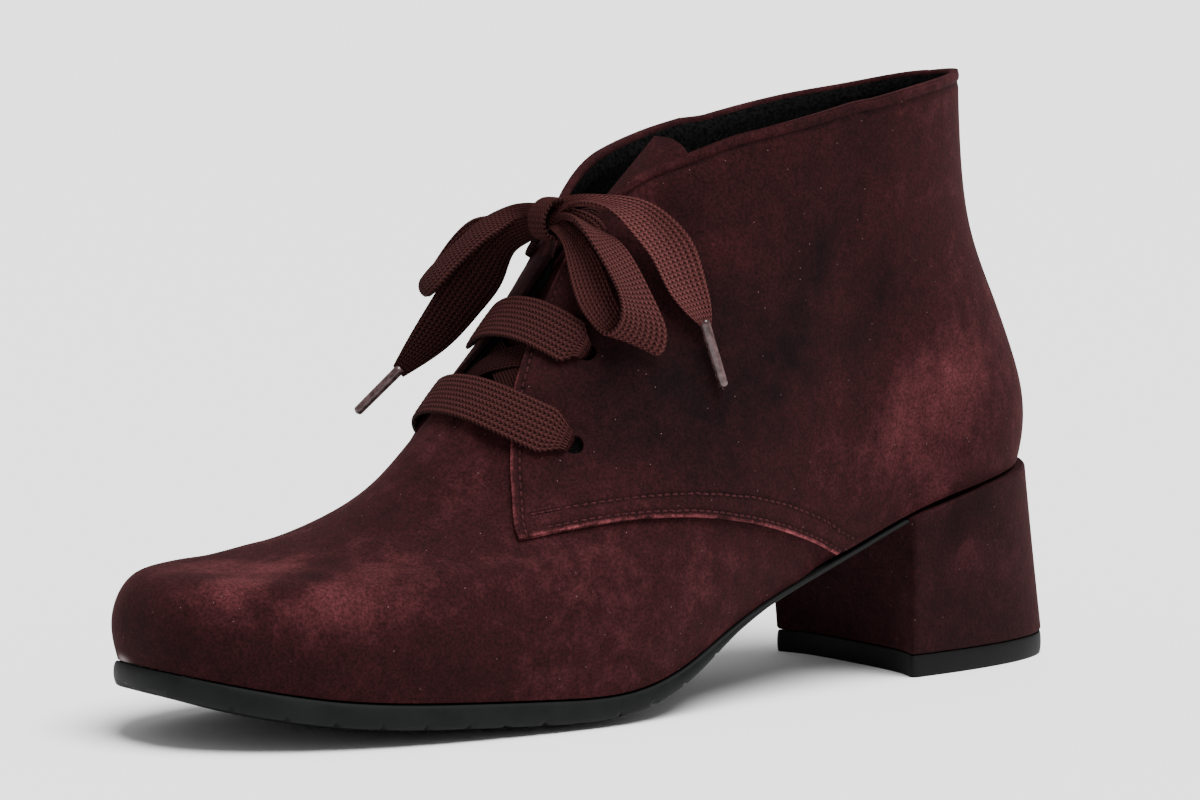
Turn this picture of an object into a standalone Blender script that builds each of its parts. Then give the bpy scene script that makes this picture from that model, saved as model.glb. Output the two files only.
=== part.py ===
"""Left lace-up ankle boot with a block heel.

Shoe coordinates are millimetres: x outwards, f forward from the back of the heel, z up from the floor.
The finished solids are in metres, +Z up, toe towards -Y, outer side towards +X.
"""

import math

import bmesh
import bpy
import numpy as np
from mathutils import Matrix, Vector

MM = 0.001
GAP = 0.3

# Middle of the boot in shoe coordinates, which becomes the frame's origin
MIDDLE_X = -0.33
MIDDLE_F = 116.57

# Thicknesses of the leather, rubber and lace
WALL = 1.6
QUARTER = 1.2
QUARTER_SINK = 1.4
QUARTER_GAP = 0.6
TONGUE = 1.6
INSOLE = 2.5
LACE_WIDTH = 11.5
LACE_THICKNESS = 1.4
LACE_CORD = 4.0
TIP_DIAMETER = 2.3
EYELET = 4.4

# Rings of the last from the featherline up past the collar. Each ring runs from a point on the back line
# to a point on the front ridge: level, back f and z, front f and z, then along the ring the place and half
# width of the heel, the place of the ball outside and inside, the half widths there, the hollow of the
# waist outside and inside, and the roundness of the back and the front.
RING_COLUMNS = ("level", "back_f", "back_z", "front_f", "front_z", "heel_at", "heel_half", "ball_at_out",
                "ball_at_in", "ball_out", "ball_in", "waist_out", "waist_in", "round_back", "round_front")
RINGS = np.array([
    (0.00, 0.5, 49.0, 242.5, 18.0, 0.15, 26.5, 0.60, 0.69, 37.5, 37.0, 2.0, 8.0, 2.2, 2.5),
    (0.11, -0.5, 56.5, 243.1, 27.0, 0.16, 29.0, 0.60, 0.69, 41.0, 40.5, 2.0, 6.0, 2.2, 2.5),
    (0.23, -0.5, 65.0, 238.0, 36.3, 0.17, 29.5, 0.60, 0.68, 40.5, 40.0, 1.5, 4.0, 2.2, 2.4),
    (0.39, 2.8, 77.0, 217.0, 38.0, 0.20, 29.5, 0.58, 0.64, 37.0, 36.5, 0.5, 2.0, 2.2, 2.3),
    (0.54, 8.7, 91.0, 184.0, 48.0, 0.25, 29.0, 0.55, 0.58, 34.0, 34.0, 0.0, 0.0, 2.2, 2.2),
    (0.70, 16.0, 109.0, 161.5, 70.0, 0.32, 29.0, 0.52, 0.52, 31.0, 31.0, 0.0, 0.0, 2.2, 2.2),
    (0.82, 19.2, 128.0, 139.5, 94.0, 0.40, 30.0, 0.52, 0.52, 30.5, 30.5, 0.0, 0.0, 2.2, 2.2),
    (0.93, 21.5, 151.0, 117.0, 128.5, 0.45, 31.5, 0.52, 0.52, 31.5, 31.5, 0.0, 0.0, 2.2, 2.2),
    (1.00, 22.5, 165.0, 106.0, 150.0, 0.46, 32.2, 0.52, 0.52, 32.2, 32.2, 0.0, 0.0, 2.2, 2.2),
])

# Side view of the featherline: share of the way from heel to toe, and height
FEATHER = np.array([(0.0, 49.0), (0.10, 45.4), (0.20, 39.4), (0.26, 34.2), (0.32, 29.3), (0.38, 24.6), (0.44, 18.9),
                    (0.50, 12.1), (0.56, 8.1), (0.61, 7.3), (0.66, 7.8), (0.76, 9.2), (0.88, 11.8), (1.0, 18.0)])
FEATHER_FADE = 0.70
TOE_SWING = 5.0
SWING_FROM = 120.0

# Lines on the last, as (around, level): around 0 at the back, 0.5 at the ridge
SEAM = np.array([(0.150, -0.330), (0.1997, 0.000), (0.2128, 0.080), (0.2263, 0.1415), (0.2400, 0.195),
                 (0.2548, 0.2525), (0.2720, 0.319), (0.2870, 0.3605), (0.2952, 0.377), (0.3029, 0.389),
                 (0.3073, 0.398), (0.3115, 0.406), (0.3175, 0.414), (0.3299, 0.425), (0.3422, 0.431),
                 (0.3544, 0.434), (0.3661, 0.4345)])
FACING = np.array([(0.3661, 0.4345), (0.396, 0.527), (0.412, 0.584), (0.431, 0.664), (0.458, 0.748),
                   (0.483, 0.823), (0.488, 0.850)])
COLLAR_OUT = np.array([(0.0, 0.896), (0.098, 0.909), (0.198, 0.921), (0.28, 0.926), (0.359, 0.927),
                       (0.423, 0.916), (0.449, 0.909), (0.469, 0.894), (0.479, 0.875), (0.488, 0.853)])
COLLAR_IN = np.array([(0.0, 0.896), (0.092, 0.891), (0.155, 0.895), (0.229, 0.900), (0.313, 0.906),
                      (0.359, 0.905), (0.424, 0.891), (0.455, 0.880), (0.479, 0.865), (0.488, 0.853)])
THROAT_LEVEL = 0.635
QUARTER_FOOT = 0.012
BACK_SEAM = 0.0008
SINK_WIDTH = 0.06
SINK_LEAD = 0.055
LEAN_FROM = 0.18
EYELET_DEPTH = 6.0

# Eyelets and lace bars: eyelet around and level, and the level where the bar crosses the ridge
LACE_ROWS = np.array([(0.384, 0.614, 0.712), (0.408, 0.755, 0.800), (0.442, 0.846, 0.872)])
BAR_PINCH = 0.62

# Runs of the lace between the bars: lean, dip below the bars, start above them, half width, thickness
RUN_LEAN = 0.008
RUN_DIP = 2.4
RUN_START = 0.2
RUN_HALF = 2.0
RUN_THICKNESS = 1.0

# Sole: distance forward, outsole thickness and crown across the tread
SOLE = np.array([(49.0, 1.0, 0.0), (75.0, 1.1, 0.4), (95.0, 1.3, 1.2), (105.0, 2.0, 1.8), (118.0, 3.7, 2.5),
                 (132.0, 4.6, 3.2), (160.0, 5.3, 3.2), (190.0, 5.5, 3.2), (225.0, 5.5, 2.2), (243.0, 5.5, 0.8)])
SOLE_MARGIN = 1.0
CROWN_HALF = 34.0

# Heel
HEEL_RIM = 2.5
BREAST_TOP_F = 49.2
BREAST_BASE_F = 46.0
BREAST_HOLLOW = 3.8
HEEL_BASE_BACK_F = -10.3
HEEL_BASE_HALF = 26.5
HEEL_BASE_SHIFT = -2.0
HEEL_BASE_ROUND = 2.6
HEEL_BASE_TAPER = 0.12
TOP_PIECE = 5.3

# Tongue: level, half width around outside and inside, and how far it leans into the boot at the top
TONGUE_ROWS = np.array([(0.58, 0.080, 0.080, 0.0), (0.70, 0.088, 0.088, 0.0), (0.80, 0.090, 0.090, 0.3),
                        (0.88, 0.090, 0.050, 3.0), (0.953, 0.085, 0.018, 9.0)])
TONGUE_CLEAR = 0.4
TONGUE_DROP = 0.03

# Knot and the routes of the loops and ends, (x, f, z)
KNOT_LIFT = 7.0
KNOT_HALF = (6.5, 6.5, 4.4)
LOOP_LATERAL = [(7.0, 134.4, 112.9), (14.2, 134.7, 111.5), (21.6, 134.0, 107.0), (28.6, 133.1, 99.2),
                (31.2, 132.1, 93.7), (31.0, 131.2, 88.6), (28.4, 132.0, 85.3), (24.8, 134.4, 88.2),
                (20.2, 136.4, 95.0), (13.6, 135.6, 104.0), (7.6, 135.1, 108.8)]
END_LATERAL = [(6.2, 132.5, 116.3), (12.7, 131.9, 117.2), (20.2, 128.2, 116.3), (25.5, 124.6, 111.8),
               (28.4, 120.9, 106.0), (29.9, 118.2, 98.6), (31.3, 115.4, 92.0), (31.8, 113.9, 88.8)]
TIP_LATERAL = [(31.9, 113.8, 88.2), (34.1, 110.3, 74.6)]
LOOP_MEDIAL = [(-7.2, 137.2, 113.9), (-11.8, 139.6, 111.7), (-15.8, 141.9, 109.0), (-20.0, 144.4, 104.9),
               (-24.0, 146.9, 100.5), (-27.6, 148.7, 96.6), (-30.8, 148.2, 95.0), (-33.0, 144.4, 97.2),
               (-32.0, 140.2, 102.0), (-27.6, 137.6, 105.8), (-20.0, 135.3, 109.4), (-12.5, 133.4, 112.1),
               (-7.4, 132.4, 113.2)]
END_MEDIAL = [(-5.9, 136.4, 109.9), (-12.0, 139.3, 107.1), (-17.5, 141.3, 100.3), (-22.5, 145.1, 91.5),
              (-27.3, 150.7, 81.9), (-30.1, 156.5, 75.8)]
TIP_MEDIAL = [(-30.4, 157.1, 75.3), (-35.0, 165.1, 66.2)]

# Mesh fineness
SIDE_COLUMNS = 26
THROAT_COLUMNS = 10
VAMP_ROWS = 11
SHAFT_ROWS = 7
QUARTER_ROWS = 11
FACING_COLUMNS = 11
TONGUE_POINTS = 15
TONGUE_ACROSS = 13
SOLE_STATIONS = 22
SOLE_ACROSS = 8
HEEL_STATIONS = 14
BAR_POINTS = 17
RUN_POINTS = 9
EYELET_SIDES = 12
CORD_STEP = 1.6
SHARP_ANGLE = 40
WELD = 1e-6

# Colours, linear
SUEDE = (0.060, 0.018, 0.021)
LINING = (0.012, 0.012, 0.013)
RUBBER = (0.010, 0.010, 0.011)
LACE = (0.075, 0.022, 0.026)
CLEAR = (0.45, 0.40, 0.42)


def spline(knots, values, x):
    """Natural cubic spline through values at knots, read at x; values may have several columns."""
    values = np.asarray(values, float).reshape(len(knots), -1)
    step = np.diff(knots)
    system = np.eye(len(knots))
    bend = np.zeros_like(values)
    slope = np.diff(values, axis=0) / step[:, None]
    for i in range(1, len(knots) - 1):
        system[i, i - 1:i + 2] = step[i - 1], 2 * (step[i - 1] + step[i]), step[i]
        bend[i] = 6 * (slope[i] - slope[i - 1])
    bend = np.linalg.solve(system, bend)
    flat = np.clip(np.ravel(x), knots[0], knots[-1])
    i = np.clip(np.searchsorted(knots, flat, side="right") - 1, 0, len(knots) - 2)
    h = step[i][:, None]
    after = (flat - knots[i])[:, None]
    before = h - after
    out = (bend[i] * before ** 3 + bend[i + 1] * after ** 3) / (6 * h)
    out += (values[i] / h - bend[i] * h / 6) * before + (values[i + 1] / h - bend[i + 1] * h / 6) * after
    return out.reshape(*np.shape(x), values.shape[1])


def smooth(line, x):
    """Smooth curve through the (place, value) rows of a line, with no overshoot, read at x."""
    knots, values = line.T
    step = np.diff(knots)
    slope = np.diff(values) / step
    turn = np.where(slope[:-1] * slope[1:] > 0, slope[:-1] * slope[1:], 0.0)
    total = slope[:-1] + slope[1:]
    middle = 2 * turn / np.where(np.abs(total) > 0, total, 1.0)
    tangent = np.concatenate([slope[:1], middle, slope[-1:]])
    x = np.clip(x, knots[0], knots[-1])
    i = np.clip(np.searchsorted(knots, x, side="right") - 1, 0, len(knots) - 2)
    t = (x - knots[i]) / step[i]
    rise = values[i] + (values[i + 1] - values[i]) * t ** 2 * (3 - 2 * t)
    return rise + step[i] * t * (1 - t) * (tangent[i] * (1 - t) - tangent[i + 1] * t)


def feather_height(f):
    """Height of the featherline at a distance forward."""
    back, front = RINGS[0, 1], RINGS[0, 3]
    return spline(FEATHER[:, 0], FEATHER[:, 1], (np.asarray(f, float) - back) / (front - back))[..., 0]


def last(around, level):
    """Point of the last: around 0 at the back, 0.5 at the front, outer side first, 1 at the back again."""
    around, level = np.broadcast_arrays(np.asarray(around, float), np.asarray(level, float))
    ring = dict(zip(RING_COLUMNS, np.moveaxis(spline(RINGS[:, 0], RINGS, level), -1, 0)))
    outer = around <= 0.5
    along = np.where(outer, 2 * around, 2 - 2 * around)
    ball_at = np.where(outer, ring["ball_at_out"], ring["ball_at_in"])
    ball_half = np.where(outer, ring["ball_out"], ring["ball_in"])
    waist = np.where(outer, ring["waist_out"], ring["waist_in"])
    heel_end = 0.30 + 0.17 * level ** 2
    ball_start = 0.62 - 0.07 * level ** 2
    back_turn = np.clip(along / heel_end, 0, 1) * np.pi / 2
    front_turn = np.clip((along - ball_start) / (1 - ball_start), 0, 1) * np.pi / 2
    middle = np.clip((along - heel_end) / (ball_start - heel_end), 0, 1)
    back_power, front_power = 2 / ring["round_back"], 2 / ring["round_front"]
    ease = middle ** 2 * (3 - 2 * middle)
    side = ring["heel_half"] + (ball_half - ring["heel_half"]) * ease
    side = side - waist * 16 * middle ** 2 * (1 - middle) ** 2
    at_back, at_front = along < heel_end, along >= ball_start
    share = ring["heel_at"] + (ball_at - ring["heel_at"]) * middle
    share = np.where(at_back, ring["heel_at"] * (1 - np.cos(back_turn) ** back_power), share)
    share = np.where(at_front, ball_at + (1 - ball_at) * np.sin(front_turn) ** front_power, share)
    half = np.where(at_back, ring["heel_half"] * np.sin(back_turn) ** back_power, side)
    half = np.where(at_front, ball_half * np.clip(np.cos(front_turn), 0, 1) ** front_power, half)
    f = ring["back_f"] + (ring["front_f"] - ring["back_f"]) * share
    sag = spline(FEATHER[:, 0], FEATHER[:, 1], share)[..., 0]
    sag = sag - FEATHER[0, 1] - (FEATHER[-1, 1] - FEATHER[0, 1]) * share
    fade = np.clip(1 - level / FEATHER_FADE, 0, 1) ** 1.3
    z = ring["back_z"] + (ring["front_z"] - ring["back_z"]) * share + sag * fade
    swing = TOE_SWING * np.clip((f - SWING_FROM) / (RINGS[0, 3] - SWING_FROM), 0, 1.1) ** 2
    x = np.where(outer, half, -half) - swing
    return np.stack([x, f, z], axis=-1)


def skin(around, level, lift=0.0):
    """Point at a height above the last, along the last's own normal."""
    step = 0.002
    around, level = np.broadcast_arrays(np.asarray(around, float), np.asarray(level, float))
    along = last((around + step) % 1.0, level) - last((around - step) % 1.0, level)
    upward = last(around, np.clip(level + step, 0, 1)) - last(around, np.clip(level - step, 0, 1))
    normal = np.cross(along, upward)
    normal /= np.linalg.norm(normal, axis=-1, keepdims=True)
    return last(around, level) + np.asarray(lift, float)[..., None] * normal


def half_way(around):
    """Place around one side, from 0 at the back to 0.5 at the ridge."""
    return np.where(around <= 0.5, around, 1 - around)


def quarter_edge(around):
    """Level of the quarter's lower and front edge."""
    side = half_way(around)
    return np.where(side <= FACING[0, 0], smooth(SEAM, side), smooth(FACING, side))


def collar_level(around):
    """Level of the top edge, higher on the outer side."""
    side = half_way(around)
    return np.where(around <= 0.5, smooth(COLLAR_OUT, side), smooth(COLLAR_IN, side))


def sink(around, level):
    """How far the wall drops below the last to lie under the quarters."""
    share = np.clip((level - quarter_edge(around) + SINK_LEAD) / SINK_WIDTH + 1, 0, 1)
    return QUARTER_SINK * share ** 2 * (3 - 2 * share)


def to_frame(points):
    """Shoe millimetres to frame metres."""
    points = np.asarray(points, float)
    return np.stack([points[..., 0] - MIDDLE_X, MIDDLE_F - points[..., 1], points[..., 2]], axis=-1) * MM


def material(name, colour, roughness):
    """Principled material with one colour."""
    made = bpy.data.materials.new(name)
    made.use_nodes = True
    shader = made.node_tree.nodes["Principled BSDF"]
    shader.inputs["Base Color"].default_value = (*colour, 1.0)
    shader.inputs["Roughness"].default_value = roughness
    shader.inputs["Metallic"].default_value = 0.0
    return made


def add_object(name, data, look):
    """Object at the origin with one material."""
    made = bpy.data.objects.new(name, data)
    made.data.materials.append(look)
    bpy.context.scene.collection.objects.link(made)
    return made


def solid(name, outer, inner, faces, look):
    """Closed body between two matching skins: both sets of faces, and a rim round every open edge."""
    count = len(outer)
    edges = {(f[i], f[(i + 1) % len(f)]) for f in faces for i in range(len(f))}
    walls = [(b, a, a + count, b + count) for a, b in edges if (b, a) not in edges]
    inside = [tuple(i + count for i in reversed(f)) for f in faces]
    mesh = bpy.data.meshes.new(name)
    mesh.from_pydata(to_frame(np.vstack([outer, inner])).tolist(), [], list(faces) + inside + walls)
    work = bmesh.new()
    work.from_mesh(mesh)
    bmesh.ops.remove_doubles(work, verts=work.verts, dist=WELD)
    bmesh.ops.recalc_face_normals(work, faces=work.faces)
    work.to_mesh(mesh)
    work.free()
    mesh.shade_smooth()
    mesh.set_sharp_from_angle(angle=math.radians(SHARP_ANGLE))
    return add_object(name, mesh, look)


def grid_faces(index):
    """Quads over a grid of point numbers."""
    quads = np.stack([index[:-1, :-1], index[:-1, 1:], index[1:, 1:], index[1:, :-1]], axis=-1)
    return [tuple(q) for q in quads.reshape(-1, 4).tolist()]


def grid_solid(name, outer, inner, look):
    """Closed body between two grids of points."""
    faces = grid_faces(np.arange(outer[..., 0].size).reshape(outer.shape[:2]))
    return solid(name, outer.reshape(-1, 3), inner.reshape(-1, 3), faces, look)


def side_columns():
    """Places around one side, from the back to the throat's edge, closer together at both ends."""
    edge = smooth(FACING[:, ::-1], THROAT_LEVEL)
    turn = np.linspace(0, 1, SIDE_COLUMNS + 1)
    return edge * (turn - np.sin(2 * np.pi * turn) / (4 * np.pi))


def upper_layout():
    """Places around and levels of the upper's grid, and its faces, open at the throat and the collar."""
    outside = side_columns()
    edge = outside[-1]
    throat = np.linspace(edge, 1 - edge, THROAT_COLUMNS + 1)[1:-1]
    inside = 1 - outside[:0:-1]
    around = np.concatenate([outside, throat, inside])
    level = THROAT_LEVEL * np.linspace(0, 1, VAMP_ROWS + 1)
    low_around, low_level = np.meshgrid(around, level)
    index = np.arange(low_around.size).reshape(low_around.shape)
    faces = grid_faces(np.hstack([index, index[:, :1]]))
    # Above the throat the columns run from the inner facing round the back to the outer one
    number = np.arange(len(around))
    order = np.concatenate([number[-len(inside):], number[:len(outside)]])
    side = half_way(around[order])
    lean = np.clip((side - LEAN_FROM) / (edge - LEAN_FROM), 0, 1) ** 2
    top_side = side + (FACING[-1, 0] - edge) * lean
    top_around = np.where(around[order] <= 0.5, top_side, 1 - top_side)
    rise = np.linspace(0, 1, SHAFT_ROWS + 1)[1:, None]
    high_level = THROAT_LEVEL + (collar_level(top_around) - THROAT_LEVEL) * rise
    high_side = side + (smooth(FACING[:, ::-1], high_level) - edge) * lean
    high_around = np.where(around[order] <= 0.5, high_side, 1 - high_side)
    high_index = low_around.size + np.arange(high_level.size).reshape(high_level.shape)
    faces += grid_faces(np.vstack([index[-1:, order], high_index]))
    all_around = np.concatenate([low_around.ravel(), high_around.ravel()])
    all_level = np.concatenate([low_level.ravel(), high_level.ravel()])
    return all_around, all_level, faces


def make_upper(look):
    """Hollow wall of the whole boot, from the featherline to the collar."""
    around, level, faces = upper_layout()
    depth = -sink(around, level)
    return solid("upper", skin(around, level, depth), skin(around, level, depth - WALL), faces, look)


def make_quarter(name, inner_side, look):
    """Side panel over the wall, from its seam and facing up to the collar."""
    behind = side_columns()
    behind = np.maximum(behind[behind < SEAM[-1, 0] - 2 * BACK_SEAM], BACK_SEAM)
    side = np.concatenate([behind, np.linspace(SEAM[-1, 0], FACING[-1, 0], FACING_COLUMNS)])
    around = 1 - side if inner_side else side
    low = np.maximum(quarter_edge(around), QUARTER_FOOT)
    rise = np.linspace(0, 1, QUARTER_ROWS + 1)[:, None] ** 1.2
    level = low + (collar_level(around) - low) * rise
    around = np.broadcast_to(around, level.shape)
    under = np.full(level.shape, QUARTER_GAP - QUARTER_SINK)
    return grid_solid(name, skin(around, level, under + QUARTER), skin(around, level, under), look)


def make_tongue(look):
    """Tongue below the facings, leaning into the boot at its top."""
    share = np.linspace(-1, 1, TONGUE_ACROSS)
    rise = np.linspace(0, 1, TONGUE_POINTS)[:, None]
    top_level = TONGUE_ROWS[-1, 0] - TONGUE_DROP * np.clip(-share, 0, 1) ** 2
    level = TONGUE_ROWS[0, 0] + (top_level - TONGUE_ROWS[0, 0]) * rise
    half_out, half_in, lean = (np.interp(level, TONGUE_ROWS[:, 0], column) for column in TONGUE_ROWS.T[1:])
    around = 0.5 + share * np.where(share < 0, half_out, half_in)
    top = -(QUARTER_SINK + WALL + TONGUE_CLEAR) - lean
    return grid_solid("tongue", skin(around, level, top), skin(around, level, top - TONGUE), look)


def outline(grow):
    """Plan of the featherline moved outwards: forward distances and x, outer side then inner side."""
    around = np.linspace(0, 1, 801)
    plan = last(around, np.zeros_like(around))[:, :2]
    along = np.gradient(plan, axis=0)
    outward = np.stack([along[:, 1], -along[:, 0]], axis=-1)
    outward /= np.linalg.norm(outward, axis=-1, keepdims=True)
    outward[[0, -1]] = (0.0, -1.0)
    plan = plan + grow * outward
    return plan[:401, ::-1], plan[:399:-1, ::-1]


def across(f, grow, columns):
    """Points across the plan at each distance forward, their share of the width and the crown's share."""
    outside, inside = outline(grow)
    x_out = np.interp(f, outside[:, 0], outside[:, 1])[:, None]
    x_in = np.interp(f, inside[:, 0], inside[:, 1])[:, None]
    share = np.linspace(-1, 1, columns + 1)
    half = (x_out - x_in) / 2
    x = (x_out + x_in) / 2 + share * half
    room = np.clip(half / CROWN_HALF, 0, 1) ** 2 * (1 - share ** 2)
    return x, np.broadcast_to(f[:, None], x.shape), np.broadcast_to(share, x.shape), room


def last_bottom(f, room):
    """Height of the last's bottom, lower where there is room in the middle of the forepart."""
    return feather_height(f) - np.interp(f, SOLE[:, 0], SOLE[:, 2]) * room


def make_outsole(look):
    """Rubber sole from the heel's breast to the toe, flat on the floor under the ball."""
    start = BREAST_TOP_F + GAP
    end = outline(SOLE_MARGIN)[0][-1, 0]
    run = np.linspace(0, 1, SOLE_STATIONS + 1)
    f = start + (end - start) * (1 - (1 - run) ** 2)
    x, f, _, room = across(f, SOLE_MARGIN, SOLE_ACROSS)
    top = last_bottom(f, room) - GAP
    bottom = np.maximum(top - np.interp(f, SOLE[:, 0], SOLE[:, 1]), 0.0)
    return grid_solid("outsole", np.stack([x, f, top], axis=-1), np.stack([x, f, bottom], axis=-1), look)


def make_insole(look):
    """Inner sole lying on the outsole and on the heel, inside the wall."""
    inset = -(WALL + QUARTER_SINK + 2 * GAP)
    outside = outline(inset)[0]
    turn = np.linspace(0, np.pi, SOLE_STATIONS + 1)
    f = outside[0, 0] + (outside[-1, 0] - outside[0, 0]) * (1 - np.cos(turn)) / 2
    x, f, _, room = across(f, inset, SOLE_ACROSS)
    bottom = last_bottom(f, room)
    top = bottom + INSOLE
    return grid_solid("insole", np.stack([x, f, top], axis=-1), np.stack([x, f, bottom], axis=-1), look)


def heel_base(run, share):
    """Plan of the heel's foot: rounded at the back, hollowed at the breast."""
    back = 1 - run
    rounding = (1 - back ** HEEL_BASE_ROUND) ** (1 / HEEL_BASE_ROUND)
    half = HEEL_BASE_HALF * (1 - HEEL_BASE_TAPER * back) * rounding
    x = HEEL_BASE_SHIFT * run + share * half
    f = HEEL_BASE_BACK_F + (BREAST_BASE_F - HEEL_BASE_BACK_F) * run
    return x, f - BREAST_HOLLOW * (1 - share ** 4) * run ** 6


def heel_grids():
    """Top and foot of the heel, as matching grids from the back to the breast."""
    run = 1 - np.cos(np.linspace(0, np.pi / 2, HEEL_STATIONS + 1))
    back = outline(HEEL_RIM)[0][0, 0]
    x, f, share, _ = across(back + (BREAST_TOP_F - back) * run, HEEL_RIM, SOLE_ACROSS)
    top = np.stack([x, f, feather_height(f) - GAP], axis=-1)
    base_x, base_f = heel_base(run[:, None], share)
    foot = np.stack([base_x, base_f, np.full_like(base_x, TOP_PIECE + GAP)], axis=-1)
    return top, foot


def make_heel(look):
    """Covered block heel between the seat and its top piece."""
    top, foot = heel_grids()
    return grid_solid("heel", top, foot, look)


def make_top_piece(look):
    """Rubber plate under the heel, flat on the floor."""
    foot = heel_grids()[1]
    upper_face, floor_face = foot.copy(), foot.copy()
    upper_face[..., 2] = TOP_PIECE
    floor_face[..., 2] = 0.0
    return grid_solid("heel_top_piece", upper_face, floor_face, look)


def strip(name, around, level, lift, half_width, thickness, look):
    """Flat lace along a line on the last, its width running up the last."""
    step = 0.004
    speed = np.linalg.norm(last(around, level + step) - last(around, level - step), axis=-1) / (2 * step)
    share = np.linspace(-1, 1, 3)
    wide_level = level[:, None] + share * (half_width / speed)[:, None]
    wide_around = np.broadcast_to(around[:, None], wide_level.shape)
    low = np.broadcast_to(np.asarray(lift, float)[:, None], wide_level.shape)
    high = skin(wide_around, wide_level, low + thickness)
    return grid_solid(name, high, skin(wide_around, wide_level, low), look)


def cross_strip(name, around, level, lift, half_width, thickness, look):
    """Flat lace running up the throat, its width lying across the boot."""
    step = 0.004
    speed = np.linalg.norm(last(around + step, level) - last(around - step, level), axis=-1) / (2 * step)
    share = np.linspace(-1, 1, 3)
    wide_around = around[:, None] + share * (half_width / speed)[:, None]
    wide_level = np.broadcast_to(level[:, None], wide_around.shape)
    low = np.broadcast_to(lift[:, None], wide_around.shape)
    high = skin(wide_around, wide_level, low + thickness)
    return grid_solid(name, high, skin(wide_around, wide_level, low), look)


def make_lace_bars(look):
    """Three bars across the throat, joined by the runs that cross below them."""
    lift = QUARTER_GAP - QUARTER_SINK + QUARTER + GAP
    side = np.linspace(-1, 1, BAR_POINTS)
    half = LACE_WIDTH / 2 * (1 - BAR_PINCH * np.abs(side) ** 4)
    bars = []
    for row, (eyelet, level, ridge) in enumerate(LACE_ROWS):
        around = 0.5 + (0.5 - eyelet) * side
        path = ridge - (ridge - level) * side ** 2
        name = f"lace_bar_{row}" if row else "lace_bars"
        bars.append(strip(name, around, path, np.full(BAR_POINTS, lift), half, LACE_THICKNESS, look))
    run = np.linspace(0, 1, RUN_POINTS)
    dip = lift + RUN_START - RUN_DIP * np.sin(np.pi * run) ** 0.5
    for row, lean in enumerate((RUN_LEAN, -RUN_LEAN)):
        around = 0.5 + lean * (1 - 2 * run)
        path = LACE_ROWS[row, 2] + (LACE_ROWS[row + 1, 2] - LACE_ROWS[row, 2]) * run
        join(bars[0], cross_strip(f"lace_run_{row}", around, path, dip, RUN_HALF, RUN_THICKNESS, look))
        join(bars[0], bars[row + 1])


def hide_tool(tool):
    """Mark an object as a guide that is left out of the part."""
    tool.hide_render = True
    tool.display_type = "WIRE"


def join(target, piece):
    """Boolean union of a piece into the target."""
    hide_tool(piece)
    union = target.modifiers.new(piece.name, "BOOLEAN")
    union.operation = "UNION"
    union.object = piece


def punch_eyelets(targets, look):
    """Round holes through the quarters and the wall behind them."""
    for row, (side, level, _) in enumerate(LACE_ROWS):
        for name, around in (("out", side), ("in", 1 - side)):
            ends = to_frame([skin(around, level, -EYELET_DEPTH), skin(around, level, EYELET_DEPTH)])
            axis = Vector(ends[1] - ends[0])
            turn = axis.to_track_quat("Z", "Y").to_matrix().to_4x4()
            place = Matrix.Translation(Vector((ends[0] + ends[1]) / 2)) @ turn
            radius = EYELET / 2 * MM
            mesh = bpy.data.meshes.new(f"eyelet_{row}_{name}")
            work = bmesh.new()
            bmesh.ops.create_cone(work, cap_ends=True, segments=EYELET_SIDES, radius1=radius, radius2=radius,
                                  depth=axis.length, matrix=place)
            work.to_mesh(mesh)
            work.free()
            cutter = add_object(mesh.name, mesh, look)
            hide_tool(cutter)
            for target in targets[name]:
                cut = target.modifiers.new(mesh.name, "BOOLEAN")
                cut.operation = "DIFFERENCE"
                cut.object = cutter


def make_knot(look):
    """Rounded knot on the top bar."""
    level = LACE_ROWS[-1, 2]
    centre = skin(0.5, level, KNOT_LIFT)
    out = skin(0.5, level, KNOT_LIFT + 1) - centre
    axes = np.stack([(1.0, 0.0, 0.0), np.cross(out, (1.0, 0.0, 0.0)), out], axis=-1)
    mesh = bpy.data.meshes.new("lace_knot")
    work = bmesh.new()
    bmesh.ops.create_icosphere(work, subdivisions=2, radius=1.0)
    for vert in work.verts:
        vert.co = to_frame(centre + axes @ (np.array(vert.co) * KNOT_HALF))
    bmesh.ops.reverse_faces(work, faces=work.faces)
    work.to_mesh(mesh)
    work.free()
    mesh.shade_smooth()
    return add_object("lace_knot", mesh, look)


def tube(name, route, diameter, look):
    """Round cord along a smooth curve through its route."""
    route = np.array(route, float)
    along = np.concatenate([[0.0], np.cumsum(np.linalg.norm(np.diff(route, axis=0), axis=1))])
    count = max(2, int(along[-1] / (CORD_STEP * diameter)))
    points = to_frame(spline(along, route, np.linspace(0, along[-1], count)))
    curve = bpy.data.curves.new(name, "CURVE")
    curve.dimensions = "3D"
    curve.bevel_depth = diameter / 2 * MM
    curve.bevel_resolution = 2
    curve.use_fill_caps = True
    line = curve.splines.new("POLY")
    line.points.add(count - 1)
    for point, place in zip(line.points, points):
        point.co = (*place, 1.0)
    return add_object(name, curve, look)


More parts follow.
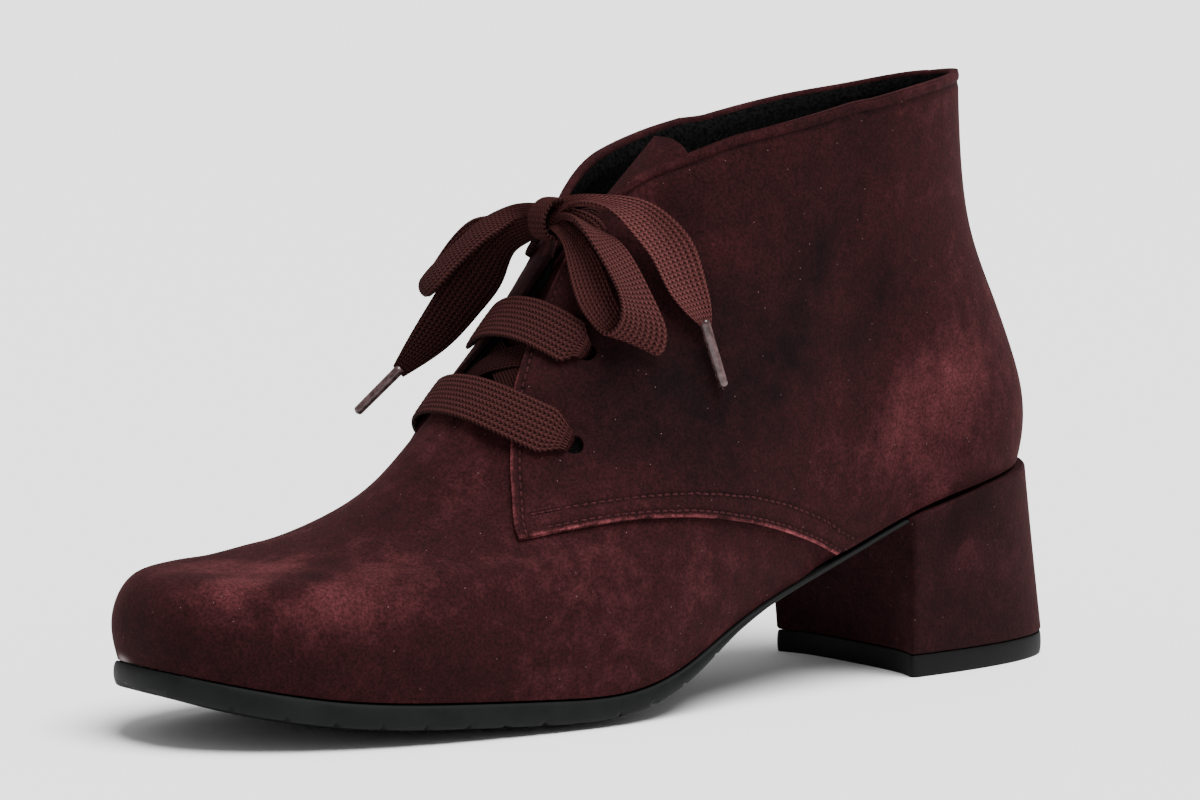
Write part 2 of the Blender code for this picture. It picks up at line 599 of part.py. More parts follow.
def build():
    """Every piece of the boot."""
    for old in list(bpy.data.objects):
        bpy.data.objects.remove(old)
    suede = material("burgundy_suede", SUEDE, 0.95)
    suede_quarter = material("burgundy_suede_quarter", SUEDE, 0.95)
    heel_suede = material("burgundy_suede_heel", SUEDE, 0.95)
    lining = material("black_textile", LINING, 0.9)
    rubber = material("black_rubber", RUBBER, 0.6)
    top_rubber = material("black_rubber_top_piece", RUBBER, 0.6)
    lace = material("woven_lace", LACE, 0.9)
    clear = material("clear_plastic", CLEAR, 0.25)
    upper = make_upper(suede)
    lateral = make_quarter("quarter_lateral", False, suede_quarter)
    medial = make_quarter("quarter_medial", True, suede_quarter)
    punch_eyelets({"out": (upper, lateral), "in": (upper, medial)}, lining)
    make_tongue(suede)
    make_insole(lining)
    make_outsole(rubber)
    make_heel(heel_suede)
    make_top_piece(top_rubber)
    make_lace_bars(lace)
    make_knot(lace)
    tube("lace_loop_lateral", LOOP_LATERAL, LACE_CORD, lace)
    tube("lace_loop_medial", LOOP_MEDIAL, LACE_CORD, lace)
    tube("lace_end_lateral", END_LATERAL, LACE_CORD, lace)
    tube("lace_end_medial", END_MEDIAL, LACE_CORD, lace)
    tube("lace_tip_lateral", TIP_LATERAL, TIP_DIAMETER, clear)
    tube("lace_tip_medial", TIP_MEDIAL, TIP_DIAMETER, clear)


build()
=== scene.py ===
"""Looks of a left lace-up ankle boot in burgundy suede, with a covered block heel.

Shoe coordinates are millimetres: x outwards, f forward from the back of the heel, z up from the floor.
Every piece is a surface worked out in shoe coordinates and put into the frame in metres.
"""

import math

import bmesh
import bpy
import numpy as np
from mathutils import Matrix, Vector


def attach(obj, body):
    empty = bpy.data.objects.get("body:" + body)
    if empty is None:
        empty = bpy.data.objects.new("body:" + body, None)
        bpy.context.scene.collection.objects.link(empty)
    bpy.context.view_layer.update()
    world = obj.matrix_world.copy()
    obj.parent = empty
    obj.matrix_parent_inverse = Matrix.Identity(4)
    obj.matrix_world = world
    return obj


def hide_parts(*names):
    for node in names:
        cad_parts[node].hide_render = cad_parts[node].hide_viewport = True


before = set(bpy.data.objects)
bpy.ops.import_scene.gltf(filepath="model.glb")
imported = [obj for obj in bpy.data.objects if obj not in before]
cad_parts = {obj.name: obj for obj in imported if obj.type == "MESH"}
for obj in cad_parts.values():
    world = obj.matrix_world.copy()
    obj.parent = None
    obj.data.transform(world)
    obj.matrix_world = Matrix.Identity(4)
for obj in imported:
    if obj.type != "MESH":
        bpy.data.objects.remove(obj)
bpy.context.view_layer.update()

MM = 0.001
GAP = 0.3
BODY = "root"

# Angle from which an edge is drawn sharp, and distance in metres below which points are one
SHARP = math.radians(50)
MERGE = 1e-6

# Middle of the boot in shoe coordinates, which is the frame's origin
MIDDLE_X = -0.33
MIDDLE_F = 116.57

# Thicknesses of the leather and rubber, and heights of the layers above and below the last
WALL = 1.6
QUARTER_SINK = 1.4
QUARTER_TOP = 0.4
QUARTER_UNDER = -0.8
VAMP = 1.0
VAMP_TUCK = 0.95
VAMP_TUCKED = 0.4
TONGUE = 1.6
INSOLE = 2.5

# Rings of the last from the featherline up past the collar. Each ring runs from a point on the back line
# to a point on the front ridge: level, back f and z, front f and z, then along the ring the place and half
# width of the heel, the place of the ball outside and inside, the half widths there, the hollow of the
# waist outside and inside, and the roundness of the back and the front.
RING_COLUMNS = ("level", "back_f", "back_z", "front_f", "front_z", "heel_at", "heel_half", "ball_at_out",
                "ball_at_in", "ball_out", "ball_in", "waist_out", "waist_in", "round_back", "round_front")
RINGS = np.array([
    (0.00, 0.5, 49.0, 242.5, 18.0, 0.15, 26.5, 0.60, 0.69, 37.5, 37.0, 2.0, 8.0, 2.2, 2.5),
    (0.11, -0.5, 56.5, 243.1, 27.0, 0.16, 29.0, 0.60, 0.69, 41.0, 40.5, 2.0, 6.0, 2.2, 2.5),
    (0.23, -0.5, 65.0, 238.0, 36.3, 0.17, 29.5, 0.60, 0.68, 40.5, 40.0, 1.5, 4.0, 2.2, 2.4),
    (0.39, 2.8, 77.0, 217.0, 38.0, 0.20, 29.5, 0.58, 0.64, 37.0, 36.5, 0.5, 2.0, 2.2, 2.3),
    (0.54, 8.7, 91.0, 184.0, 48.0, 0.25, 29.0, 0.55, 0.58, 34.0, 34.0, 0.0, 0.0, 2.2, 2.2),
    (0.70, 16.0, 109.0, 161.5, 70.0, 0.32, 29.0, 0.52, 0.52, 31.0, 31.0, 0.0, 0.0, 2.2, 2.2),
    (0.82, 19.2, 128.0, 139.5, 94.0, 0.40, 30.0, 0.52, 0.52, 30.5, 30.5, 0.0, 0.0, 2.2, 2.2),
    (0.93, 21.5, 151.0, 117.0, 128.5, 0.45, 31.5, 0.52, 0.52, 31.5, 31.5, 0.0, 0.0, 2.2, 2.2),
    (1.00, 22.5, 165.0, 106.0, 150.0, 0.46, 32.2, 0.52, 0.52, 32.2, 32.2, 0.0, 0.0, 2.2, 2.2),
])

# Side view of the featherline: share of the way from heel to toe, and height
FEATHER = np.array([(0.0, 49.0), (0.10, 45.4), (0.20, 39.4), (0.26, 34.2), (0.32, 29.3), (0.38, 24.6),
                    (0.44, 18.9), (0.50, 12.1), (0.56, 8.1), (0.61, 7.3), (0.66, 7.8), (0.76, 9.2),
                    (0.88, 11.8), (1.0, 18.0)])

# Level where the featherline's sag has faded out and the power of its fading, and the toe's swing inwards
# with its start and its limit
FEATHER_FADE = 0.70
FEATHER_POWER = 1.3
TOE_SWING = 5.0
SWING_FROM = 120.0
SWING_MOST = 1.1

# Along a ring, the end of the heel's round and the start of the ball's at the featherline, and what the
# square of the level adds to them
HEEL_END = 0.30
HEEL_END_GAIN = 0.17
BALL_START = 0.62
BALL_START_GAIN = -0.07

# Lines on the last, as (around, level): around 0 at the back, 0.5 at the ridge
SEAM = np.array([(0.150, -0.330), (0.1997, 0.000), (0.2128, 0.080), (0.2263, 0.1415), (0.2400, 0.195),
                 (0.2548, 0.2525), (0.2720, 0.319), (0.2870, 0.3605), (0.2952, 0.377), (0.3029, 0.389),
                 (0.3073, 0.398), (0.3115, 0.406), (0.3175, 0.414), (0.3299, 0.425), (0.3422, 0.431),
                 (0.3544, 0.434), (0.3661, 0.4345)])
FACING = np.array([(0.3661, 0.4345), (0.396, 0.527), (0.412, 0.584), (0.431, 0.664), (0.458, 0.748),
                   (0.483, 0.823), (0.488, 0.850)])
COLLAR_OUT = np.array([(0.0, 0.896), (0.098, 0.909), (0.198, 0.921), (0.28, 0.926), (0.359, 0.927),
                       (0.423, 0.916), (0.449, 0.909), (0.469, 0.894), (0.479, 0.875), (0.488, 0.853)])
COLLAR_IN = np.array([(0.0, 0.896), (0.092, 0.891), (0.155, 0.895), (0.229, 0.900), (0.313, 0.906),
                      (0.359, 0.905), (0.424, 0.891), (0.455, 0.880), (0.479, 0.865), (0.488, 0.853)])
SEWING = np.array([(0.1938, 0.034), (0.2085, 0.125), (0.2236, 0.194), (0.2400, 0.262), (0.2605, 0.3455),
                   (0.2847, 0.4104), (0.3009, 0.4353), (0.3062, 0.445), (0.3110, 0.453), (0.3160, 0.460),
                   (0.3211, 0.465), (0.3280, 0.472), (0.3409, 0.4815), (0.3538, 0.4887), (0.3666, 0.4933),
                   (0.3791, 0.4951)])

# Lowest level of the throat and of the quarters, first place of their seam, half of the gap at the back, how
# the layers below sink under the quarters, and where the lining starts to lean along the facing
THROAT_LEVEL = 0.635
QUARTER_FOOT = 0.012
SEAM_FOOT = 0.2005
BACK_SEAM = 0.0008
SINK_WIDTH = 0.06
SINK_LEAD = 0.055
LEAN_FROM = 0.18

# Lining: how far its rim stays below the collar, the slope of the rim, and its clearance under the vamp
LINING_BELOW = 0.004
LINING_RIM = 0.04
LINING_SLOPE = 0.010
LINING_CLEAR = 0.05

# Vamp: where it starts around the last, its top level, and how far it runs on under the quarters
VAMP_FROM = 0.165
VAMP_TOP = 0.715
VAMP_LAP = 0.06

# Eyelets and lace bars: eyelet around and level, and the level where the bar crosses the ridge
LACE_ROWS = np.array([(0.384, 0.614, 0.712), (0.408, 0.755, 0.800), (0.442, 0.846, 0.872)])

# Radius of an eyelet, and how far its punch reaches to both sides of the last
EYELET_RADIUS = 2.2
PUNCH_DEEP = 6.0

# Surface of the quarters in millimetres: rounding of the cut edge, grooves of the sewing, the pressed ring
# and dish of an eyelet, and the groove of the back seam with its reach around
EDGE_ROUND = 0.8
EDGE_DROP = 0.30
GROOVE_WIDTH = 0.6
GROOVE_DEEP = 0.30
EYELET_RING = 1.6
EYELET_RING_WIDTH = 0.7
EYELET_RING_DEEP = 0.18
EYELET_DISH = 0.3
EYELET_DISH_DEEP = 0.15
BACK_GROOVE_WIDTH = 0.7
BACK_GROOVE_DEEP = 0.5
BACK_GROOVE_REACH = 0.1

# Sole: distance forward, outsole thickness and crown across the tread
SOLE = np.array([(49.0, 1.0, 0.0), (75.0, 1.1, 0.4), (95.0, 1.3, 1.2), (105.0, 2.0, 1.8),
                 (118.0, 3.7, 2.5), (132.0, 4.6, 3.2), (160.0, 5.3, 3.2), (190.0, 5.5, 3.2),
                 (225.0, 5.5, 2.2), (243.0, 5.5, 0.8)])

# Margin of the sole past the featherline, rounding of its edge, half width from which the crown is full, and
# the least half width to divide by
SOLE_MARGIN = 1.0
SOLE_CORNER = 0.9
CROWN_HALF = 34.0
LEAST_HALF = 0.001

# Spine of the outsole: its start in front of the breast, and its front end
SPINE_BACK = 12.0
SPINE_FRONT = 215.0

# Notches of the tread: first place and pitch, depth, the height they stay under, the share of the wall
# they start at, and the crest and blend of the wave that draws them
NOTCH_FROM = 60.0
NOTCH_PITCH = 10.0
NOTCH_DEEP = 0.9
NOTCH_UNDER = 14.0
NOTCH_DROP = 0.8
NOTCH_CREST = 0.9
NOTCH_BLEND = 0.08

# Heel: rim at the seat, breast, foot with its place, half width, roundness and taper, and the top piece
HEEL_RIM = 2.5
BREAST_TOP_F = 49.2
BREAST_BASE_F = 46.0
BREAST_HOLLOW = 3.8
HEEL_BASE_BACK_F = -10.3
HEEL_BASE_HALF = 26.5
HEEL_BASE_SHIFT = -2.0
HEEL_BASE_ROUND = 2.6
HEEL_BASE_TAPER = 0.12
TOP_PIECE = 5.3
TOP_PIECE_ROUND = 0.4

# Cover of the heel: rounds of averaging at the corners, suede turned in over a share of the height at both
# ends, the closer rows there, and the painted light that brightens the breast, with its start and half width
SOFTEN_ROUNDS = 6
HEEL_TURN_IN = 0.5
HEEL_TURN_SHARE = 0.02
HEEL_END_ROWS = 0.03
BREAST_FROM = 0.97
BREAST_HALF = 0.985
BREAST_LIGHT = 0.2

# Tongue: level, half width around outside and inside, and how far it leans into the boot at the top
TONGUE_ROWS = np.array([(0.58, 0.080, 0.080, 0.0), (0.70, 0.088, 0.088, 0.0), (0.80, 0.090, 0.090, 0.3),
                        (0.88, 0.090, 0.050, 3.0), (0.953, 0.085, 0.018, 9.0)])

# Clearance of the tongue below the wall, drop of its outer corner in levels, and the painted shade that
# darkens it down in the throat
TONGUE_CLEAR = 0.4
TONGUE_DROP = 0.03
TONGUE_SHADE = 0.2

# Routes of the bow, (x, f, z), and beside each point half of the lace's width as a vector
LOOP_LATERAL = [(7.0, 134.4, 112.9), (14.2, 134.7, 111.5), (21.6, 134.0, 107.0), (28.6, 133.1, 99.2),
                (31.2, 132.1, 93.7), (31.0, 131.2, 88.6), (28.4, 132.0, 85.3), (24.8, 134.4, 88.2),
                (20.2, 136.4, 95.0), (13.6, 135.6, 104.0), (7.6, 135.1, 108.8)]
LOOP_LATERAL_SIDE = [(1.5, -1.2, -0.4), (1.0, -2.6, -1.3), (-0.9, -4.0, 0.7), (-1.2, -4.9, 0.4),
                     (0.0, -5.4, -1.1), (0.9, -6.2, -1.9), (2.2, -6.0, -2.6), (3.2, -4.6, -1.8),
                     (2.8, -3.6, -0.2), (2.4, -2.6, 0.4), (1.5, -1.5, 0.5)]
END_LATERAL = [(6.2, 132.5, 116.3), (12.7, 131.9, 117.2), (20.2, 128.2, 116.3), (25.5, 124.6, 111.8),
               (28.4, 120.9, 106.0), (29.9, 118.2, 98.6), (31.3, 115.4, 92.0), (31.8, 113.9, 88.8)]
END_LATERAL_SIDE = [(0.3, -1.2, 1.5), (1.4, -3.0, 0.8), (1.8, -3.8, 0.9), (2.2, -4.0, 1.8),
                    (1.5, -4.8, 1.7), (1.1, -4.6, 1.2), (0.6, -3.0, 0.6), (0.3, -1.4, 0.2)]
TIP_LATERAL = [(31.9, 113.8, 88.2), (34.1, 110.3, 74.6)]
LOOP_MEDIAL = [(-7.2, 137.2, 113.9), (-11.8, 139.6, 111.7), (-15.8, 141.9, 109.0), (-20.0, 144.4, 104.9),
               (-24.0, 146.9, 100.5), (-27.6, 148.7, 96.6), (-30.8, 148.2, 95.0), (-33.0, 144.4, 97.2),
               (-32.0, 140.2, 102.0), (-27.6, 137.6, 105.8), (-20.0, 135.3, 109.4), (-12.5, 133.4, 112.1),
               (-7.4, 132.4, 113.2)]
LOOP_MEDIAL_SIDE = [(0.6, 0.2, -1.6), (3.0, 1.4, -1.8), (4.5, 2.1, -1.7), (4.8, 2.3, -1.6),
                    (4.8, 2.3, -1.7), (4.2, 2.0, -2.0), (3.2, 1.6, -1.9), (2.8, 1.4, -2.0),
                    (2.2, 1.0, -3.0), (0.9, 0.4, -4.4), (0.6, 0.2, -2.6), (0.4, 0.1, -1.9),
                    (0.3, 0.1, -1.6)]
END_MEDIAL = [(-5.9, 136.4, 109.9), (-12.0, 139.3, 107.1), (-17.5, 141.3, 100.3), (-22.5, 145.1, 91.5),
              (-27.3, 150.7, 81.9), (-30.1, 156.5, 75.8)]
END_MEDIAL_SIDE = [(0.4, -0.8, -2.9), (0.6, -2.9, -3.2), (1.9, -4.6, -3.2), (2.3, -4.8, -2.3),
                   (1.7, -3.8, -1.5), (0.8, -0.9, -1.3)]
TIP_MEDIAL = [(-30.4, 157.1, 75.3), (-35.0, 165.1, 66.2)]
KNOT_START_LATERAL = (1.0, 134.6, 112.6)
KNOT_START_MEDIAL = (-1.0, 135.4, 113.2)
KNOT_PASS_LATERAL = (0.0, 133.5, 113.5)
KNOT_PASS_MEDIAL = (0.0, 133.6, 112.8)
KNOT_PASS_SIDE = (0.0, -1.4, 2.2)

# Arch across the width, and painted light that scales the colour up where the lace should look lit and down
# where it lies in shade, for a loop and for the end that follows it
ARCH_LATERAL = (0.7, 2.2)
ARCH_MEDIAL = (1.0, 0.8)
PAINTED_LIGHT_LATERAL = (1.5, 2.0)
PAINTED_LIGHT_MEDIAL = (0.95, 0.55)

# Knot: an oval winding with its start and length in half turns, growing and drifting along the way
KNOT_CENTRE = (1.0, 135.2, 112.4)
KNOT_HALF_WIDTH = 3.0
KNOT_DEEP = 3.4
KNOT_TALL = 4.3
KNOT_TURN_FROM = -0.2
KNOT_TURNS = 2.35
KNOT_GROWTH = 0.6
KNOT_DRIFT = 1.2

# Folded top line: height of the bead above its sewing, half its depth, how proud of the quarter it stands,
# and the squareness of its oval
COLLAR_BEAD = 2.7
COLLAR_DEEP = 1.1
COLLAR_PROUD = 0.2
COLLAR_POWER = 0.8

# Flat woven lace: its ribs, their height, the powers that square its oval across and through, and its weave
LACE_WIDTH = 11.5
LACE_THICK = 1.3
LACE_RIBS = 9
RIB_HEIGHT = 0.11
LACE_POWER = 0.9
LACE_FACE_POWER = 0.35
WEFT_PITCH = 1.1
WEFT_SLANT = 1.2
WEFT_SHARE = 0.75
RIB_SHARE = 0.7
FUZZ_SHARE = 1.2

# Lace tips: overlap on the lace, flare and taper, the rounded end as a share of the length, and the lip
TIP_DIAMETER = 2.3
TIP_OVERLAP = 1.8
TIP_FLARE = 1.08
TIP_TAPER = 0.10
TIP_ROUND = 0.06
TIP_CLOSED = 0.98
TIP_LIP = 0.25
TIP_LIP_SHARE = 0.03

# Lace bars: height above the quarters, bow at the ridge, narrowing and thickening towards an eyelet from a
# share of the half length, and the dive into it
BAR_LIFT = 0.95
BAR_BOW = 0.5
BAR_END = 0.80
BAR_NARROW = 0.66
BAR_END_THICK = 0.5
BAR_DIVE = 5.0
BAR_DIVE_FROM = 0.93
BAR_DIVE_POWER = 1.5

# Top bar: drawn up and pinched by the knot, narrower where the bow hides it, and darkened there by painted
# shadow of the bow
TOP_BAR_RISE = 4.0
TOP_BAR_PINCH = 0.55
TOP_BAR_REACH = 0.75
HIDDEN_REACH = 0.4
HIDDEN_NARROW = 0.4
HIDDEN_PAINTED_SHADOW = 0.5

# Runs below the bars: height, rise where they cross and how far one passes over the other, bend upwards in
# levels, half width as a share of the lace, thickness and the painted shade that darkens them under the bars
UNDER_LIFT = -3.4
UNDER_RISE = 1.0
UNDER_PASS = 0.4
UNDER_BEND = 0.075
UNDER_HALF = 0.30
UNDER_THICK = 1.0
UNDER_PAINTED_SHADE = 0.6

# Soft light and dark patches: partly the nap's own uneven tone, partly painted highlights on the toe's top
# and painted shade in its crease, low sides and tip: x, f, z, radius in millimetres, and strength from -1 to
# 1
NAP_AND_LIGHT_PATCHES = np.array([
    (-10, 222, 38, 8, 0.5), (3, 219, 38, 9, 0.7), (6, 211, 39, 7, 0.4), (14, 229, 35, 8, 0.9),
    (25, 220, 32, 8, 0.5), (30, 211, 31, 10, 0.4), (27, 213, 36, 7, 0.2), (33, 201, 30, 10, 0.3),
    (23, 195, 40, 10, 0.3), (20, 227, 33, 4, -0.5), (21, 221, 36, 3.5, -0.8), (19, 213, 38, 4, -0.8),
    (12, 205, 40, 5, -0.5), (14, 237, 24, 8, -0.35), (22, 229, 21, 9, -0.3), (28, 219, 20, 9, -0.3),
    (33, 207, 19, 10, -0.3), (36, 193, 19, 13, -0.3), (-8, 243, 28, 8, -0.5), (5, 242, 23, 8, -0.4),
    (7, 181, 49, 12, -0.3), (2, 167, 63, 8, 0.3), (40, 145, 30, 16, 0.2), (39, 121, 29, 12, 0.3),
    (37, 160, 10, 9, 0.2), (34, 137, 53, 12, 0.3), (20, 138, 84, 9, -0.3), (28, 131, 72, 24, -0.75),
    (32, 108, 68, 24, -0.5), (31, 95, 88, 20, -0.4), (31, 75, 110, 24, -0.4), (29, 57, 92, 12, -0.4),
    (31, 65, 127, 9, -0.3), (21, 113, 118, 6, -0.5), (15, 117, 121, 7, 0.4), (30, 66, 64, 6, -0.3),
    (30, 45, 67, 13, 0.7), (28, 33, 75, 10, 0.4), (30, 57, 57, 9, 0.5),
    (29, 36, 37, 5, -0.9), (29, 27, 42, 5, -0.7), (29, 2, 33, 5, -0.9), (29, 40, 44, 5, 0.5),
    (29, 30, 27, 6, 0.7), (29, 16, 23, 6, 0.6), (29, 10, 10, 8, -0.6), (29, 12, 40, 5, 0.4),
    (26, 111, 110, 6, -0.2), (29, 99, 119, 7, -0.3), (30, 81, 103, 8, -0.5), (31, 86, 82, 9, -0.4),
    (28, 113, 94, 6, -0.4), (30, 61, 113, 8, 0.3), (30, 92, 125, 6, 0.1), (29, 51, 127, 8, 0.1),
    (31, 68, 80, 8, -0.4), (28, 105, 104, 6, 0.4), (31, 74, 92, 6, 0.3),
    (-36, 200, 30, 14, 0.5), (-34, 150, 40, 16, -0.4), (-30, 60, 80, 16, 0.5), (-30, 100, 100, 16, -0.4),
], float)

# Dried glue at the toe joint: x, f, z and reach each way
GLUE_SPOT = (-13.0, 241.0, 18.0)
GLUE_REACH = (3.0, 3.0, 1.0)
GLUE_SHARE = 0.6

# Shares of the cloudy, brushed and fine layers, and of the patches of nap with their painted light and
# shade, in the suede's tone
CLOUD_SHARE = 0.25
BRUSH_SHARE = 0.5
FIBRE_SHARE = 0.48
NAP_AND_LIGHT_SHARE = 0.31

# Cut edge of the quarters: share and width of raw colour, more of it towards the heel, less up the facing
RAW_EDGE = 0.85
RAW_WIDTH = 0.5
RAW_BRIGHT_UNDER = 0.26
RAW_BRIGHT_FADE = 0.05
RAW_FRONT = 0.6
RAW_FRONT_FADE = 0.006

# Painted shade in the grooves of the sewing, and painted shadow of the bow inside the throat of the inner
# quarter
GROOVE_SHADE = 0.7
THROAT_SHADE = 0.9
THROAT_SHADE_FROM = 0.42
THROAT_SHADE_FADE = 0.04

# Sewing: distance from the lower and front edges, end of the collar's row, pitch and length of a stitch,
# how deep it sinks and sags, its thread, and the closer stitches of the bar tack
EDGE_SEWING = 1.3
FRONT_SEWING = 2.0
COLLAR_SEWING_END = 0.470
STITCH_PITCH = 2.1
STITCH_LENGTH = 1.8
STITCH_SINK = 0.26
STITCH_SAG = 0.35
THREAD = 0.65
FRONT_THREAD = 0.45
TACK_PITCH = 0.9
TACK_SPREAD = 0.8
TACK_SINK = 0.15
TACK_POINTS = 16

# Soft creases of the vamp: around and level of both ends, half width in millimetres, and height
VAMP_CREASES = np.array([
    (0.440, 0.500, 0.560, 0.520, 3.0, -0.35), (0.400, 0.400, 0.480, 0.470, 3.5, -0.30),
    (0.430, 0.380, 0.590, 0.390, 4.0, 0.30), (0.330, 0.180, 0.390, 0.300, 4.5, -0.30),
    (0.330, 0.300, 0.380, 0.360, 3.5, 0.25), (0.600, 0.300, 0.670, 0.200, 4.5, -0.30),
])

# Stage: half of the floor in metres, the camera's place and target in shoe coordinates, and the lights
FLOOR_HALF = 30.0
CAMERA_PLACE = (928.9, 807.66, 190.88)
CAMERA_TARGET = (-2.465, 118.49, 69.101)
CAMERA_LENS = 150.0
CAMERA_SENSOR = 36.0
CAMERA_FAR = 20.0
SURROUND_STRENGTH = 0.5
SOFTBOX_WAY = (-0.40, -0.06, -1.0)
SOFTBOX_ENERGY = 7.5
SOFTBOX_ANGLE = math.radians(45)


def spline(knots, values, x):
    """Natural cubic spline through values at knots, read at x. Values may have several columns."""
    values = np.asarray(values, float).reshape(len(knots), -1)
    step = np.diff(knots)
    system = np.eye(len(knots))
    bend = np.zeros_like(values)
    slope = np.diff(values, axis=0) / step[:, None]
    for i in range(1, len(knots) - 1):
        system[i, i - 1:i + 2] = step[i - 1], 2 * (step[i - 1] + step[i]), step[i]
        bend[i] = 6 * (slope[i] - slope[i - 1])
    bend = np.linalg.solve(system, bend)
    flat = np.clip(np.ravel(x), knots[0], knots[-1])
    i = np.clip(np.searchsorted(knots, flat, side="right") - 1, 0, len(knots) - 2)
    h = step[i][:, None]
    after = (flat - knots[i])[:, None]
    before = h - after
    out = (bend[i] * before ** 3 + bend[i + 1] * after ** 3) / (6 * h)
    out += (values[i] / h - bend[i] * h / 6) * before + (values[i + 1] / h - bend[i + 1] * h / 6) * after
    return out.reshape(*np.shape(x), values.shape[1])


def smooth(line, x):
    """Smooth curve through the (place, value) rows of a line, with no overshoot, read at x."""
    knots, values = line.T
    step = np.diff(knots)
    slope = np.diff(values) / step
    turn = np.where(slope[:-1] * slope[1:] > 0, slope[:-1] * slope[1:], 0.0)
    total = slope[:-1] + slope[1:]
    middle = 2 * turn / np.where(np.abs(total) > 0, total, 1.0)
    tangent = np.concatenate([slope[:1], middle, slope[-1:]])
    x = np.clip(x, knots[0], knots[-1])
    i = np.clip(np.searchsorted(knots, x, side="right") - 1, 0, len(knots) - 2)
    t = (x - knots[i]) / step[i]
    rise = values[i] + (values[i + 1] - values[i]) * t ** 2 * (3 - 2 * t)
    return rise + step[i] * t * (1 - t) * (tangent[i] * (1 - t) - tangent[i + 1] * t)


def ease(x):
    """Soft step from 0 to 1."""
    x = np.clip(x, 0, 1)
    return x * x * (3 - 2 * x)


def unit(v):
    """Vectors scaled to length 1."""
    return v / np.maximum(np.linalg.norm(v, axis=-1, keepdims=True), 1e-9)


def feather_height(f):
    """Height of the featherline at a distance forward."""
    back, front = RINGS[0, 1], RINGS[0, 3]
    return spline(FEATHER[:, 0], FEATHER[:, 1], (np.asarray(f, float) - back) / (front - back))[..., 0]


def last(around, level):
    """Point of the last: around 0 at the back, 0.5 at the front, outer side first, 1 at the back again.

    A ring is a superellipse round the heel and another round the toe, joined by an eased width with a
    hollow waist. Its height runs straight from back to front, plus the featherline's sag that fades
    upwards.
    """
    around, level = np.broadcast_arrays(np.asarray(around, float), np.asarray(level, float))
    ring = dict(zip(RING_COLUMNS, np.moveaxis(spline(RINGS[:, 0], RINGS, level), -1, 0)))
    outer = around <= 0.5
    along = np.where(outer, 2 * around, 2 - 2 * around)
    ball_at = np.where(outer, ring["ball_at_out"], ring["ball_at_in"])
    ball_half = np.where(outer, ring["ball_out"], ring["ball_in"])
    waist = np.where(outer, ring["waist_out"], ring["waist_in"])
    heel_end = HEEL_END + HEEL_END_GAIN * level ** 2
    ball_start = BALL_START + BALL_START_GAIN * level ** 2
    back_turn = np.clip(along / heel_end, 0, 1) * np.pi / 2
    front_turn = np.clip((along - ball_start) / (1 - ball_start), 0, 1) * np.pi / 2
    middle = np.clip((along - heel_end) / (ball_start - heel_end), 0, 1)
    back_power, front_power = 2 / ring["round_back"], 2 / ring["round_front"]
    side = ring["heel_half"] + (ball_half - ring["heel_half"]) * ease(middle)
    side = side - waist * 16 * middle ** 2 * (1 - middle) ** 2
    at_back, at_front = along < heel_end, along >= ball_start
    share = ring["heel_at"] + (ball_at - ring["heel_at"]) * middle
    share = np.where(at_back, ring["heel_at"] * (1 - np.cos(back_turn) ** back_power), share)
    share = np.where(at_front, ball_at + (1 - ball_at) * np.sin(front_turn) ** front_power, share)
    half = np.where(at_back, ring["heel_half"] * np.sin(back_turn) ** back_power, side)
    half = np.where(at_front, ball_half * np.clip(np.cos(front_turn), 0, 1) ** front_power, half)
    f = ring["back_f"] + (ring["front_f"] - ring["back_f"]) * share
    sag = spline(FEATHER[:, 0], FEATHER[:, 1], share)[..., 0]
    sag = sag - FEATHER[0, 1] - (FEATHER[-1, 1] - FEATHER[0, 1]) * share
    fade = np.clip(1 - level / FEATHER_FADE, 0, 1) ** FEATHER_POWER
    z = ring["back_z"] + (ring["front_z"] - ring["back_z"]) * share + sag * fade
    forward = np.clip((f - SWING_FROM) / (RINGS[0, 3] - SWING_FROM), 0, SWING_MOST)
    x = np.where(outer, half, -half) - TOE_SWING * forward ** 2
    return np.stack([x, f, z], axis=-1)


def skin_axes(around, level):
    """Point of the last, its change with around and with level, and its outward normal."""
    step = 0.002
    around, level = np.broadcast_arrays(np.asarray(around, float), np.asarray(level, float))
    high, low = np.clip(level + step, 0, 1), np.clip(level - step, 0, 1)
    along = (last((around + step) % 1.0, level) - last((around - step) % 1.0, level)) / (2 * step)
    upward = (last(around, high) - last(around, low)) / (high - low)[..., None]
    return last(around, level), along, upward, unit(np.cross(along, upward))


def skin(around, level, lift=0.0):
    """Point at a height above the last, along the last's own normal."""
    point, _, _, normal = skin_axes(around, level)
    return point + np.asarray(lift, float)[..., None] * normal


def half_way(around):
    """Place around one side, from 0 at the back to 0.5 at the ridge."""
    return np.where(around <= 0.5, around, 1 - around)


def on_side(side, inner_side):
    """Place around the last from a place around one side."""
    return 1 - side if inner_side else side


def quarter_edge(around):
    """Level of the quarter's lower and front edge."""
    side = half_way(around)
    return np.where(side <= FACING[0, 0], smooth(SEAM, side), smooth(FACING, side))


def collar_level(around):
    """Level of the top edge, higher on the outer side."""
    side = half_way(around)
    return np.where(around <= 0.5, smooth(COLLAR_OUT, side), smooth(COLLAR_IN, side))


def sink(around, level):
    """How far under the quarters a place lies, from 0 well outside them to 1 below them."""
    return ease((level - quarter_edge(around) + SINK_LEAD) / SINK_WIDTH + 1)


